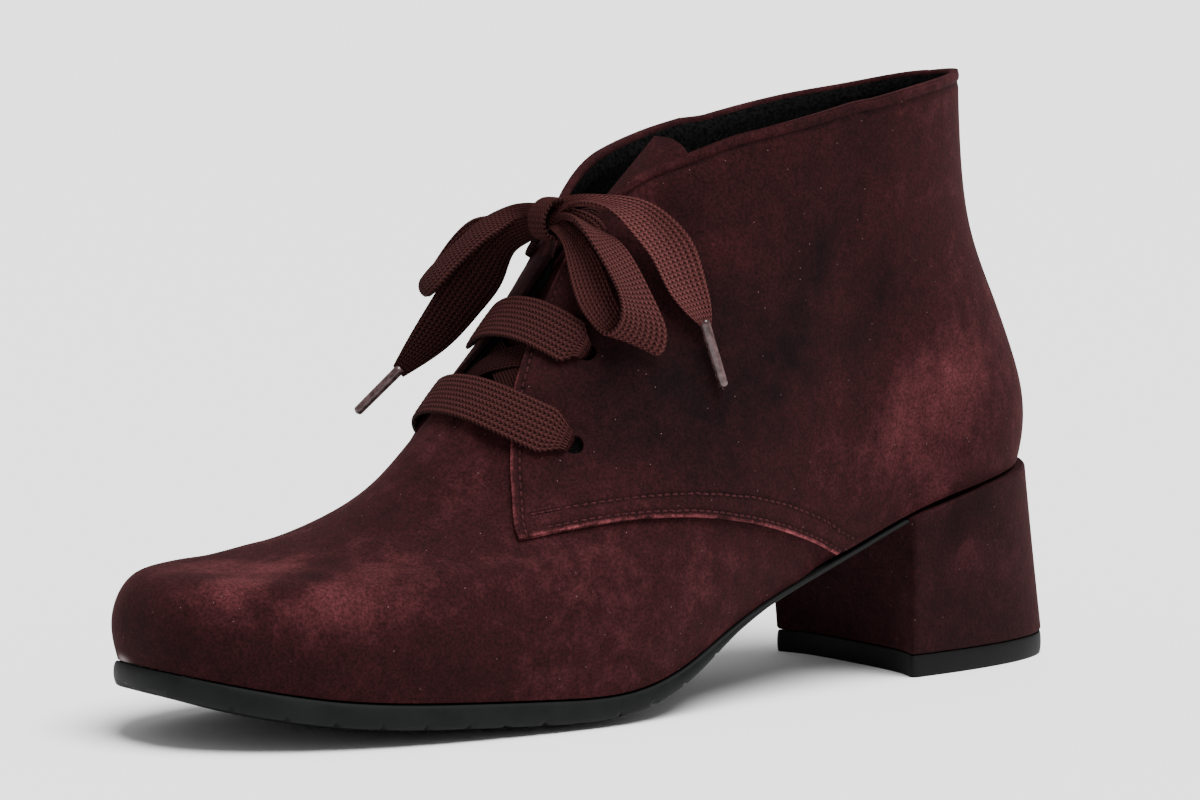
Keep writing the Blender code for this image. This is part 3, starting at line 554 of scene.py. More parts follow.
def slide(around, level, distance):
    """Line on the last moved sideways by a distance in millimetres, to the left of its own direction.

    The sideways vector is turned into steps around and up by solving with the skin's two tangents.
    """
    _, along, upward, normal = skin_axes(around, level)
    way = along * np.gradient(around)[:, None] + upward * np.gradient(level)[:, None]
    side = unit(np.cross(way, normal)) * distance
    aa, au, uu = (along * along).sum(-1), (along * upward).sum(-1), (upward * upward).sum(-1)
    sa, su = (side * along).sum(-1), (side * upward).sum(-1)
    spread = aa * uu - au * au
    return around + (sa * uu - su * au) / spread, level + (su * aa - sa * au) / spread


def distance_to(points, line):
    """Distance from each point to the nearest point of a line, all in millimetres."""
    square = (points ** 2).sum(-1)[..., None] + (line ** 2).sum(-1) - 2 * points @ line.T
    return np.sqrt(np.maximum(square.min(-1), 0))


def bump_row(distance, width):
    """Soft ridge across a line, 1 on it and falling off over a width."""
    return np.exp(-(distance / width) ** 2)


def nap_and_painted_light(points):
    """Light and dark patches, partly the suede's own tone and partly painted highlight and shade: each patch
    adds its strength, falling off over its radius.
    """
    reach = ((points[..., None, :] - NAP_AND_LIGHT_PATCHES[:, :3]) ** 2).sum(-1) / NAP_AND_LIGHT_PATCHES[:, 3] ** 2
    return (NAP_AND_LIGHT_PATCHES[:, 4] * np.exp(-reach)).sum(-1)


def suede_values(points, shade=0.0, edge=0.0):
    """Values of the suede at points: its patches of own tone and painted light, less a painted shade (a
    painted light where it is negative), and its raw cut edge.
    """
    return {"nap_and_painted_light": nap_and_painted_light(points) - shade, "edge": np.broadcast_to(edge, len(points))}


def circle(count):
    """Angles of evenly spaced points once round a circle."""
    return np.linspace(0, 2 * np.pi, count, endpoint=False)


def squared(wave, power):
    """Sine or cosine raised to a power with its sign kept, which squares an oval's corners."""
    return np.sign(wave) * np.abs(wave) ** power


def run_length(line):
    """Distance along a line at each of its points."""
    return np.concatenate([[0.0], np.cumsum(np.linalg.norm(np.diff(line, axis=0), axis=-1))])


def to_frame(points):
    """Shoe millimetres to frame metres."""
    points = np.asarray(points, float)
    return np.stack([points[..., 0] - MIDDLE_X, MIDDLE_F - points[..., 1], points[..., 2]], axis=-1) * MM


def grid_faces(index):
    """Quads over a grid of point numbers."""
    corners = [index[:-1, :-1], index[:-1, 1:], index[1:, 1:], index[1:, :-1]]
    return np.stack(corners, axis=-1).reshape(-1, 4)


def ring_faces(index):
    """Quads over a grid whose rows are closed rings."""
    return grid_faces(np.hstack([index, index[:, :1]]))


def loop_body(rings):
    """Points, quads and end caps of a closed body from matching rings of points."""
    index = np.arange(rings[..., 0].size).reshape(rings.shape[:2])
    return rings.reshape(-1, 3), ring_faces(index), [index[0].tolist(), index[-1, ::-1].tolist()]


def shell(outer, inner, faces):
    """Closed body between two matching skins: both sets of faces, and a wall round every open edge."""
    count = len(outer)
    edges = np.stack([faces, np.roll(faces, -1, axis=1)], axis=-1).reshape(-1, 2)
    forward = edges[:, 0] * count + edges[:, 1]
    backward = edges[:, 1] * count + edges[:, 0]
    rim = edges[~np.isin(backward, forward)]
    walls = np.stack([rim[:, 1], rim[:, 0], rim[:, 0] + count, rim[:, 1] + count], axis=-1)
    return np.vstack([outer, inner]), np.vstack([faces, faces[:, ::-1] + count, walls])


def add_object(name, data):
    """Object with its data, put into the scene."""
    made = bpy.data.objects.new(name, data)
    bpy.context.scene.collection.objects.link(made)
    return made


def add_piece(name, points, faces, look, nodes, values=None, caps=()):
    """Mesh from shoe points, merged and facing outwards, that rides on the boot and stands for nodes."""
    mesh = bpy.data.meshes.new(name)
    mesh.from_pydata(to_frame(points), [], np.asarray(faces).tolist() + list(caps))
    for key, value in (values or {}).items():
        layer = mesh.attributes.new(key, "FLOAT", "POINT")
        layer.data.foreach_set("value", np.ascontiguousarray(value, np.float32))
    work = bmesh.new()
    work.from_mesh(mesh)
    loose = [v for v in work.verts if not v.link_faces]
    bmesh.ops.delete(work, geom=loose, context="VERTS")
    bmesh.ops.remove_doubles(work, verts=work.verts, dist=MERGE)
    bmesh.ops.recalc_face_normals(work, faces=work.faces)
    work.to_mesh(mesh)
    work.free()
    mesh.shade_smooth()
    mesh.set_sharp_from_angle(angle=SHARP)
    mesh.materials.append(look)
    piece = add_object(name, mesh)
    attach(piece, BODY)
    if nodes:
        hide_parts(*nodes)
    return piece


def add_shell(name, outer, inner, faces, look, nodes, values=None):
    """Closed shell as a piece, with the outer skin's values repeated on the inner skin."""
    both = {key: np.tile(value, 2) for key, value in (values or {}).items()}
    points, all_faces = shell(outer, inner, faces)
    return add_piece(name, points, all_faces, look, nodes, both)


# Materials

def linear(code, alpha=1.0):
    """sRGB hex colour to linear."""
    parts = np.array([int(code[i:i + 2], 16) for i in (1, 3, 5)]) / 255
    parts = np.where(parts <= 0.04045, parts / 12.92, ((parts + 0.055) / 1.055) ** 2.4)
    return (*parts.tolist(), alpha)


def node(tree, kind, links=None, ramp=(), **settings):
    """Add a node with its settings and its ramp's stops, and give its inputs their values or links.

    A stop is a place and a colour. The first two are the ramp's own, and the others are added.
    """
    made = tree.nodes.new(kind)
    for key, value in settings.items():
        setattr(made, key, value)
    for i, (place, colour) in enumerate(ramp):
        stops = made.color_ramp.elements
        stop = stops[i] if i < 2 else stops.new(place)
        stop.position = place
        stop.color = linear(colour)
    for key, value in (links or {}).items():
        if isinstance(value, bpy.types.NodeSocket):
            tree.links.new(value, made.inputs[key])
        else:
            made.inputs[key].default_value = value
    return made


def new_look(name, **constants):
    """Material with its tree, its Principled shader and object coordinates."""
    look = bpy.data.materials.new(name)
    look.use_nodes = True
    tree = look.node_tree
    shader = tree.nodes["Principled BSDF"]
    for key, value in constants.items():
        shader.inputs[key.replace("_", " ")].default_value = value
    place = node(tree, "ShaderNodeTexCoord").outputs["Object"]
    return look, tree, shader, place


def grain(size):
    """Noise scale that gives features of a size in millimetres."""
    return 1 / (size * MM)


def suede_look(name, dark, middle, light, raw):
    """Burgundy suede: split leather brushed to a short pile, dull, with cloudy patches where the fibres lie
    the other way, listed patches of its own tone with painted highlights and painted shade, a pale raw cut
    edge and a few specks of dust."""
    look, tree, shader, place = new_look(name, Roughness=0.95, Specular_IOR_Level=0.08, Sheen_Weight=0.10,
                                         Sheen_Roughness=0.4, Sheen_Tint=linear("#8a3c40"))
    cloud = node(tree, "ShaderNodeTexNoise", {"Vector": place, "Scale": grain(16), "Detail": 2.0,
                                              "Roughness": 0.5})
    brush = node(tree, "ShaderNodeTexNoise", {"Vector": place, "Scale": grain(5), "Detail": 5.0,
                                              "Roughness": 0.65})
    # The nap's fibres are about 0.1 mm wide: drawn coarser so that they show
    fibre = node(tree, "ShaderNodeTexNoise", {"Vector": place, "Scale": grain(0.7), "Detail": 3.0,
                                              "Roughness": 0.75})
    # Listed patches of the nap's own tone, with painted highlights and painted shade carried in the same
    # attribute
    patches = node(tree, "ShaderNodeAttribute", attribute_name="nap_and_painted_light")
    tone = 0.5 - (CLOUD_SHARE + BRUSH_SHARE) / 2
    for layer, share in ((cloud, CLOUD_SHARE), (brush, BRUSH_SHARE), (patches, NAP_AND_LIGHT_SHARE)):
        tone = node(tree, "ShaderNodeMath", {0: layer.outputs["Fac"], 1: share, 2: tone},
                    operation="MULTIPLY_ADD").outputs[0]
    ramp = node(tree, "ShaderNodeValToRGB", {"Fac": tone}, ((0.12, dark), (0.9, light), (0.5, middle)))
    edge = node(tree, "ShaderNodeAttribute", attribute_name="edge")
    ragged = node(tree, "ShaderNodeMapRange", {"Value": brush.outputs["Fac"], "From Min": 0.40,
                                               "From Max": 0.60})
    worn = node(tree, "ShaderNodeMath", {0: edge.outputs["Fac"], 1: ragged.outputs["Result"]},
                operation="MULTIPLY")
    cut = node(tree, "ShaderNodeMix", {"Factor": worn.outputs[0], "A": ramp.outputs["Color"],
                                       "B": linear(raw)}, data_type="RGBA")
    speckle = node(tree, "ShaderNodeMapRange", {"Value": fibre.outputs["Fac"], "From Min": 0.35,
                                                "From Max": 0.65, "To Min": 1 - FIBRE_SHARE,
                                                "To Max": 1 + FIBRE_SHARE})
    furry = node(tree, "ShaderNodeVectorMath", {"Vector": cut.outputs[2],
                                                "Scale": speckle.outputs["Result"]}, operation="SCALE")
    # Dust: one grain of about 0.2 mm in each 3 mm cell, where the surface happens to pass through it
    cells = node(tree, "ShaderNodeTexVoronoi", {"Vector": place, "Scale": grain(3)})
    speck = node(tree, "ShaderNodeMath", {0: cells.outputs["Distance"], 1: 0.035}, operation="LESS_THAN")
    dusty = node(tree, "ShaderNodeMix", {"Factor": speck.outputs[0], "A": furry.outputs[0],
                                         "B": linear("#755a5b")}, data_type="RGBA")
    glue = node(tree, "ShaderNodeAttribute", attribute_name="glue")
    glued = node(tree, "ShaderNodeMix", {"Factor": glue.outputs["Fac"], "A": dusty.outputs[2],
                                         "B": linear("#a89a99")}, data_type="RGBA")
    tree.links.new(glued.outputs[2], shader.inputs["Base Color"])
    pile = node(tree, "ShaderNodeMath", {0: brush.outputs["Fac"], 1: 1.5, 2: fibre.outputs["Fac"]},
                operation="MULTIPLY_ADD")
    relief = node(tree, "ShaderNodeBump", {"Height": pile.outputs[0], "Strength": 0.5,
                                           "Distance": 0.25 * MM})
    tree.links.new(relief.outputs["Normal"], shader.inputs["Normal"])
    return look


def textile_look():
    """Black textile lining: fine plain weave, dull, with a slight lift on the threads."""
    look, tree, shader, place = new_look("black_textile_lining", Roughness=0.95, Specular_IOR_Level=0.0)
    weave = node(tree, "ShaderNodeTexNoise", {"Vector": place, "Scale": grain(0.8), "Detail": 2.0})
    ramp = node(tree, "ShaderNodeValToRGB", {"Fac": weave.outputs["Fac"]},
                ((0.3, "#050505"), (0.75, "#141414")))
    tree.links.new(ramp.outputs["Color"], shader.inputs["Base Color"])
    relief = node(tree, "ShaderNodeBump", {"Height": weave.outputs["Fac"], "Strength": 0.4,
                                           "Distance": 0.2 * MM})
    tree.links.new(relief.outputs["Normal"], shader.inputs["Normal"])
    return look


def rubber_look(name, dark, light):
    """Moulded black rubber: matt, faintly mottled with dust, with a fine pebble."""
    look, tree, shader, place = new_look(name, Specular_IOR_Level=0.1)
    pebble = node(tree, "ShaderNodeTexNoise", {"Vector": place, "Scale": grain(1.0), "Detail": 4.0})
    dust = node(tree, "ShaderNodeTexNoise", {"Vector": place, "Scale": grain(9), "Detail": 5.0,
                                             "Roughness": 0.65})
    ramp = node(tree, "ShaderNodeValToRGB", {"Fac": dust.outputs["Fac"]}, ((0.35, dark), (0.75, light)))
    tree.links.new(ramp.outputs["Color"], shader.inputs["Base Color"])
    gloss = node(tree, "ShaderNodeMapRange", {"Value": dust.outputs["Fac"], "To Min": 0.5, "To Max": 0.75})
    tree.links.new(gloss.outputs["Result"], shader.inputs["Roughness"])
    relief = node(tree, "ShaderNodeBump", {"Height": pebble.outputs["Fac"], "Strength": 0.3,
                                           "Distance": 0.2 * MM})
    tree.links.new(relief.outputs["Normal"], shader.inputs["Normal"])
    return look


def lace_look():
    """Flat woven cotton lace: lengthwise ribs crossed by slanting weft, dull, darker between threads."""
    look, tree, shader, place = new_look("woven_cotton_lace", Roughness=0.9, Specular_IOR_Level=0.03)
    along = node(tree, "ShaderNodeAttribute", attribute_name="along").outputs["Fac"]
    side = node(tree, "ShaderNodeAttribute", attribute_name="across").outputs["Fac"]
    rib_pitch = LACE_WIDTH / LACE_RIBS
    rib = node(tree, "ShaderNodeMath", {0: side, 1: 2 * math.pi / rib_pitch}, operation="MULTIPLY")
    rib = node(tree, "ShaderNodeMath", {0: rib.outputs[0]}, operation="COSINE")
    # Each rib is a plait whose threads slant to both sides, drawn coarser than real ones so that they show
    plait = node(tree, "ShaderNodeMath", {0: side, 1: rib_pitch / 2}, operation="PINGPONG")
    slant = node(tree, "ShaderNodeMath", {0: plait.outputs[0], 1: WEFT_SLANT, 2: along},
                 operation="MULTIPLY_ADD")
    weft = node(tree, "ShaderNodeMath", {0: slant.outputs[0], 1: 2 * math.pi / WEFT_PITCH},
                operation="MULTIPLY")
    weft = node(tree, "ShaderNodeMath", {0: weft.outputs[0]}, operation="SINE")
    ribs = node(tree, "ShaderNodeMath", {0: rib.outputs[0], 1: RIB_SHARE}, operation="MULTIPLY")
    thread = node(tree, "ShaderNodeMath", {0: weft.outputs[0], 1: WEFT_SHARE, 2: ribs.outputs[0]},
                  operation="MULTIPLY_ADD")
    fuzz = node(tree, "ShaderNodeTexNoise", {"Vector": place, "Scale": grain(0.7), "Detail": 3.0})
    tone = node(tree, "ShaderNodeMath", {0: fuzz.outputs["Fac"], 1: FUZZ_SHARE, 2: thread.outputs[0]},
                operation="MULTIPLY_ADD")
    shade = node(tree, "ShaderNodeMapRange", {"Value": tone.outputs[0], "From Min": -0.9, "From Max": 2.3})
    ramp = node(tree, "ShaderNodeValToRGB", {"Fac": shade.outputs["Result"]},
                ((0.0, "#0d0505"), (1.0, "#452625")))
    # Painted light and shade: the colour is scaled up where the lace should look lit and down where it lies
    # in shade
    painted_light_scale = node(tree, "ShaderNodeAttribute", attribute_name="painted_light_scale")
    painted_lace_colour = node(tree, "ShaderNodeVectorMath", {"Vector": ramp.outputs["Color"],
                                                "Scale": painted_light_scale.outputs["Fac"]}, operation="SCALE")
    tree.links.new(painted_lace_colour.outputs[0], shader.inputs["Base Color"])
    relief = node(tree, "ShaderNodeBump", {"Height": thread.outputs[0], "Strength": 0.8,
                                           "Distance": 0.2 * MM})
    tree.links.new(relief.outputs["Normal"], shader.inputs["Normal"])
    return look


def thread_look():
    """Waxed sewing thread, a shade darker than the suede, with a slight twist."""
    look, tree, shader, place = new_look("burgundy_thread", Roughness=0.9, Specular_IOR_Level=0.1)
    twist = node(tree, "ShaderNodeTexNoise", {"Vector": place, "Scale": grain(0.5)})
    ramp = node(tree, "ShaderNodeValToRGB", {"Fac": twist.outputs["Fac"]},
                ((0.3, "#1a0909"), (0.7, "#401c1f")))
    tree.links.new(ramp.outputs["Color"], shader.inputs["Base Color"])
    return look


def tip_look():
    """Clear film rolled round the lace end: glossy, greyed by the lace inside."""
    look, tree, shader, place = new_look("clear_plastic_film", Roughness=0.3, Specular_IOR_Level=0.3,
                                         Coat_Weight=0.3, Coat_Roughness=0.15)
    inside = node(tree, "ShaderNodeTexNoise", {"Vector": place, "Scale": grain(1.6), "Detail": 3.0})
    ramp = node(tree, "ShaderNodeValToRGB", {"Fac": inside.outputs["Fac"]},
                ((0.35, "#2a1a19"), (0.7, "#574243")))
    tree.links.new(ramp.outputs["Color"], shader.inputs["Base Color"])
    return look


# Upper

def vamp_creases(points):
    """Height of the listed creases: each is a soft ridge or trough along a line on the last."""
    height = np.zeros(points.shape[:-1])
    run = np.linspace(0, 1, 24)
    for around_a, level_a, around_b, level_b, width, rise in VAMP_CREASES:
        line = last(around_a + (around_b - around_a) * run, level_a + (level_b - level_a) * run)
        height += rise * bump_row(distance_to(points, line), width)
    return height


def make_vamp(look):
    """Vamp: the last's own skin from the featherline to the throat, dipping to tuck under the quarters."""
    columns, rows = np.linspace(VAMP_FROM, 1 - VAMP_FROM, 330), np.linspace(0, VAMP_TOP, 110)
    around, level = np.meshgrid(columns, rows)
    faces = grid_faces(np.arange(around.size).reshape(around.shape))
    around, level = around.ravel(), level.ravel()
    kept = (level < quarter_edge(around) + VAMP_LAP)[faces].all(axis=1)
    under = sink(around, level)
    top = vamp_creases(last(around, level)) * (1 - under) - VAMP_TUCK * under
    outer = skin(around, level, top)
    inner = skin(around, level, top - VAMP + (VAMP - VAMP_TUCKED) * under)
    glue = GLUE_SHARE * bump_row(np.linalg.norm((outer - GLUE_SPOT) / GLUE_REACH, axis=-1), 1.0)
    values = {**suede_values(outer), "glue": glue}
    add_shell("vamp", outer, inner, faces[kept], look, ["upper"], values)


def upper_layout():
    """Places around and levels of the wall's grid, and its faces, open at the throat and the collar.

    Below the throat the rows are whole rings. Above it they run from facing to facing round the back, and
    their columns lean forward so that the last ones follow the facings.
    """
    edge = smooth(FACING[:, ::-1], THROAT_LEVEL)
    turn = np.linspace(0, 1, 111)
    outside = edge * (turn - np.sin(2 * np.pi * turn) / (4 * np.pi))
    throat = np.linspace(edge, 1 - edge, 25)[1:-1]
    inside = 1 - outside[:0:-1]
    around = np.concatenate([outside, throat, inside])
    low_around, low_level = np.meshgrid(around, THROAT_LEVEL * np.linspace(0, 1, 41))
    index = np.arange(low_around.size).reshape(low_around.shape)
    faces = ring_faces(index)
    number = np.arange(len(around))
    order = np.concatenate([number[-len(inside):], number[:len(outside)]])
    side = half_way(around[order])
    lean = np.clip((side - LEAN_FROM) / (edge - LEAN_FROM), 0, 1) ** 2
    top_side = side + (FACING[-1, 0] - edge) * lean
    top_around = np.where(around[order] <= 0.5, top_side, 1 - top_side)
    rise = np.linspace(0, 1, 41)[1:, None]
    high_level = THROAT_LEVEL + (collar_level(top_around) - LINING_BELOW - THROAT_LEVEL) * rise
    high_side = side + (smooth(FACING[:, ::-1], high_level) - edge) * lean
    high_around = np.where(around[order] <= 0.5, high_side, 1 - high_side)
    high_index = low_around.size + np.arange(high_level.size).reshape(high_level.shape)
    faces = np.vstack([faces, grid_faces(np.vstack([index[-1:, order], high_index]))])
    all_around = np.concatenate([low_around.ravel(), high_around.ravel()])
    all_level = np.concatenate([low_level.ravel(), high_level.ravel()])
    return all_around, all_level, faces


def punch(points, faces, radius):
    """Round eyelet holes: faces inside a radius go, and the points left inside move out to the circle."""
    points = points.copy()
    for side, level, _ in LACE_ROWS:
        for around in (side, 1 - side):
            centre, _, _, normal = skin_axes(around, level)
            flat = points - centre
            height = flat @ normal
            flat = flat - height[:, None] * normal
            reach = np.linalg.norm(flat, axis=-1)
            near = (reach < radius) & (np.abs(height) < PUNCH_DEEP)
            faces = faces[~near[faces].all(axis=1)]
            points[near] += (flat * (radius / np.maximum(reach, 1e-6) - 1)[:, None])[near]
    return points, faces


def make_lining(look):
    """Textile lining and wall behind the suede, open at the collar and the throat."""
    around, level, faces = upper_layout()
    under = sink(around, level)
    outer = skin(around, level, -np.maximum(QUARTER_SINK * under, VAMP + LINING_CLEAR))
    near_rim = ease((level - collar_level(around)) / LINING_RIM + 1)
    inner = skin(around, level - LINING_SLOPE * near_rim, -QUARTER_SINK * under - WALL)
    outer, left = punch(outer, faces, EYELET_RADIUS)
    inner, left = punch(inner, faces, EYELET_RADIUS)
    add_shell("lining", outer, inner, left, look, ["upper"])


def edge_line(inner_side):
    """Lower and front edge of a quarter, from the foot of its seam to the top of its facing."""
    seam = np.linspace(SEAM_FOOT, SEAM[-1, 0], 220)
    facing = np.linspace(SEAM[-1, 0], FACING[-1, 0], 160)[1:]
    around = on_side(np.concatenate([seam, facing]), inner_side)
    return around, quarter_edge(around)


def collar_line(inner_side):
    """Top edge of a quarter, from the back to the top of its facing."""
    around = on_side(np.linspace(BACK_SEAM, FACING[-1, 0], 300), inner_side)
    return around, collar_level(around)


def stitch_rows(inner_side):
    """Lines of sewing on a quarter: beside its lower and front edge, higher up, and under the collar."""
    turn = 1 if inner_side else -1
    around, level = edge_line(inner_side)
    lower = half_way(around) < SEAM[-2, 0]
    rows = [slide(around[lower], level[lower], turn * EDGE_SEWING)]
    if not inner_side:
        front = half_way(around) > SEAM[-1, 0]
        rows.append(slide(around[front], level[front], turn * FRONT_SEWING))
    side = np.linspace(SEWING[0, 0], SEWING[-1, 0], 200)
    rows.append((on_side(side, inner_side), smooth(SEWING, side)))
    around, level = collar_line(inner_side)
    keep = half_way(around) < COLLAR_SEWING_END
    rows.append(slide(around[keep], level[keep], -turn * COLLAR_BEAD))
    return rows


def make_quarter(name, solid, inner_side, look):
    """Quarter panel: columns from the back seam to the facing, rows from its cut edge up to the collar.

    Its top dips at the sewing and the pressed rings of the eyelets, and rounds off at the cut edge.
    """
    behind = np.linspace(BACK_SEAM, SEAM[-1, 0], 150)
    facing = np.linspace(SEAM[-1, 0], FACING[-1, 0], 111)[1:]
    column = on_side(np.concatenate([behind, facing]), inner_side)
    low = np.maximum(quarter_edge(column), QUARTER_FOOT)
    # Rows lie a little closer together at both edges
    rise = np.linspace(0, 1, 125)[:, None]
    rise = 0.72 * rise ** 1.15 + 0.28 * (1 - (1 - rise) ** 1.5)
    level = low + (collar_level(column) - low) * rise
    around = np.broadcast_to(column, level.shape)
    faces = grid_faces(np.arange(level.size).reshape(level.shape))
    around, level = around.ravel(), level.ravel()
    base = last(around, level)
    from_edge = distance_to(base, last(*edge_line(inner_side)))
    top = QUARTER_TOP - EDGE_DROP * np.clip(1 - from_edge / EDGE_ROUND, 0, 1) ** 2
    groove = np.zeros(len(base))
    for line in stitch_rows(inner_side):
        groove = np.maximum(groove, bump_row(distance_to(base, last(*line)), GROOVE_WIDTH))
    top = top - GROOVE_DEEP * groove
    for eyelet, eyelet_level, _ in LACE_ROWS:
        reach = np.linalg.norm(base - last(on_side(eyelet, inner_side), eyelet_level), axis=-1)
        top = top - EYELET_RING_DEEP * bump_row(reach - EYELET_RADIUS - EYELET_RING, EYELET_RING_WIDTH)
        top = top - EYELET_DISH_DEEP * bump_row(reach, EYELET_RADIUS + EYELET_DISH)
    side = half_way(around)
    top = top - BACK_GROOVE_DEEP * bump_row(base[:, 0], BACK_GROOVE_WIDTH) * (side < BACK_GROOVE_REACH)
    outer = skin(around, level, top)
    inner = skin(around, level, np.full(level.shape, QUARTER_UNDER))
    raw = RAW_EDGE * np.clip(1.5 - from_edge / RAW_WIDTH, 0, 1)
    raw = raw * (1 + ease((RAW_BRIGHT_UNDER - side) / RAW_BRIGHT_FADE))
    raw = raw * (1 - (1 - RAW_FRONT) * ease((side - SEAM[-1, 0]) / RAW_FRONT_FADE))
    # Painted shade darkens the sewing's grooves, and on the inner quarter painted shadow of the bow darkens
    # the throat
    shade = GROOVE_SHADE * groove
    if inner_side:
        raw = raw * (side < SEAM[-1, 0])
        shade = shade + THROAT_SHADE * ease((side - THROAT_SHADE_FROM) / THROAT_SHADE_FADE)
    values = suede_values(outer, shade, raw)
    outer, left = punch(outer, faces, EYELET_RADIUS)
    inner, left = punch(inner, faces, EYELET_RADIUS)
    add_shell(name, outer, inner, left, look, [solid], values)


def make_collar(look):
    """Folded top line: an oval bead along the collar, from one facing round the back to the other.

    The section is an oval in the plane of the skin's normal and of the direction across the line.
    """
    out_around, out_level = collar_line(False)
    in_around, in_level = collar_line(True)
    around = np.concatenate([in_around[::-1], out_around])
    level = np.concatenate([in_level[::-1], out_level])
    point, _, _, normal = skin_axes(around, level)
    way = unit(np.gradient(point, axis=0))
    down = unit(np.cross(way, normal))
    down = np.where(down[:, 2:] > 0, -down, down)
    half_high, half_deep = COLLAR_BEAD / 2, COLLAR_DEEP
    middle = point + down * half_high + normal * (QUARTER_TOP + COLLAR_PROUD - half_deep)
    turn = circle(28)
    wide = squared(np.cos(turn), COLLAR_POWER)[:, None] * half_deep
    tall = squared(np.sin(turn), COLLAR_POWER)[:, None] * half_high
    points, faces, caps = loop_body(middle[:, None] + normal[:, None] * wide + down[:, None] * tall)
    solids = ["quarter_lateral", "quarter_medial"]
    add_piece("collar_fold", points, faces, look, solids, suede_values(points), caps)


def make_tongue(look):
    """Tongue below the facings, leaning into the boot at its top, with a rounded tip."""
    share = np.linspace(-1, 1, 61)
    rise = np.linspace(0, 1, 91)[:, None]
    top_level = TONGUE_ROWS[-1, 0] - TONGUE_DROP * np.clip(-share, 0, 1) ** 2
    level = TONGUE_ROWS[0, 0] + (top_level - TONGUE_ROWS[0, 0]) * rise
    half_out, half_in, lean = (np.interp(level, TONGUE_ROWS[:, 0], column) for column in TONGUE_ROWS.T[1:])
    around = 0.5 + share * np.where(share < 0, half_out, half_in)
    top = -(QUARTER_SINK + WALL + TONGUE_CLEAR) - lean
    faces = grid_faces(np.arange(level.size).reshape(level.shape))
    around, level, top = around.ravel(), level.ravel(), top.ravel()
    outer = skin(around, level, top)
    inner = skin(around, level, top - TONGUE)
    # Painted shade darkens the whole tongue, which lies in the throat's shade
    values = suede_values(outer, TONGUE_SHADE)
    add_shell("tongue_leather", outer, inner, faces, look, ["tongue"], values)


# Sole and heel

def outline(grow):
    """Plan of the featherline moved outwards: forward distances and x, outer side then inner side."""
    around = np.linspace(0, 1, 801)
    plan = last(around, np.zeros_like(around))[:, :2]
    along = np.gradient(plan, axis=0)
    outward = unit(np.stack([along[:, 1], -along[:, 0]], axis=-1))
    outward[[0, -1]] = (0.0, -1.0)
    plan = plan + grow * outward
    return plan[:401, ::-1], plan[:399:-1, ::-1]


def width_at(f, grow):
    """Middle x and half width of the plan, moved outwards, at distances forward."""
    outside, inside = outline(grow)
    x_out = np.interp(f, outside[:, 0], outside[:, 1])
    x_in = np.interp(f, inside[:, 0], inside[:, 1])
    return (x_out + x_in) / 2, (x_out - x_in) / 2


def crowned(f, half, share):
    """Height of the featherline, hollowed across the forepart to the crown at a share of the half width."""
    room = np.clip(half / CROWN_HALF, 0, 1) ** 2 * (1 - share ** 2)
    return feather_height(f) - np.interp(f, SOLE[:, 0], SOLE[:, 2]) * room


def sole_heights(x, f):
    """Top and underside of the outsole at places of the plan, crowned across the forepart."""
    middle, half = width_at(f, SOLE_MARGIN)
    half = np.maximum(half, LEAST_HALF)
    share = np.clip((x - middle) / half, -1, 1)
    top = crowned(f, half, share) - GAP
    return top, np.maximum(top - np.interp(f, SOLE[:, 0], SOLE[:, 1]), 0.0)


def make_outsole(look):
    """Rubber outsole: a rounded wall round the plan, with top and tread drawn in to a spine.

    Rows run from the spine on the top, out to the wall, down it and back to the spine on the tread,
    where narrow grooves run across and show as notches in the lower edge.
    """
    outside, inside = outline(SOLE_MARGIN)
    start = BREAST_TOP_F + GAP
    plan = np.vstack([outside[outside[:, 0] > start], inside[inside[:, 0] > start][::-1]])[:, ::-1]
    back = np.linspace(plan[-1], plan[0], 60)[1:-1]
    back[:, 1] = start
    plan = np.vstack([plan, back])
    spine_f = np.clip(plan[:, 1], start + SPINE_BACK, SPINE_FRONT)
    spine = np.stack([width_at(spine_f, SOLE_MARGIN)[0], spine_f], axis=-1)
    way = np.roll(plan, -1, axis=0) - np.roll(plan, 1, axis=0)
    outward = unit(np.stack([way[:, 1], -way[:, 0]], axis=-1))
    rows = []
    for share in (0.0, 0.25, 0.5, 0.75, 0.9):
        rows.append((spine + (plan - spine) * share, 0.0))
    for angle in np.linspace(np.pi / 2, -np.pi / 2, 13):
        side = plan + outward * (math.cos(angle) - 1) * SOLE_CORNER
        rows.append((side, (1 - math.sin(angle)) / 2))
    for share in np.linspace(0.96, 0.0, 26):
        rows.append((spine + (plan - spine) * share, 1.0))
    rings = []
    for place, drop in rows:
        top, bottom = sole_heights(place[:, 0], place[:, 1])
        if drop > NOTCH_DROP:
            wave = np.sin((place[:, 1] - NOTCH_FROM) * 2 * np.pi / NOTCH_PITCH)
            notch = NOTCH_DEEP * ease((wave - NOTCH_CREST) / NOTCH_BLEND)
            bottom = bottom + notch * (bottom < NOTCH_UNDER)
        rings.append(np.column_stack([place, top + (bottom - top) * drop]))
    points, faces, _ = loop_body(np.array(rings))
    add_piece("outsole_rubber", points, faces, look, ["outsole"])


def make_insole(look):
    """Inner sole with a textile cover, lying inside the wall."""
    inset = -(WALL + QUARTER_SINK + 2 * GAP)
    outside, _ = outline(inset)
    turn = np.linspace(0, np.pi, 121)[:, None]
    f = outside[0, 0] + (outside[-1, 0] - outside[0, 0]) * (1 - np.cos(turn)) / 2
    middle, half = width_at(f, inset)
    share = np.linspace(-1, 1, 33)
    x = middle + share * half
    f = np.broadcast_to(f, x.shape)
    bottom = crowned(f, half, share)
    faces = grid_faces(np.arange(x.size).reshape(x.shape))
    outer = np.stack([x, f, bottom + INSOLE], axis=-1).reshape(-1, 3)
    inner = np.stack([x, f, bottom], axis=-1).reshape(-1, 3)
    add_shell("insole_cover", outer, inner, faces, look, ["insole"])


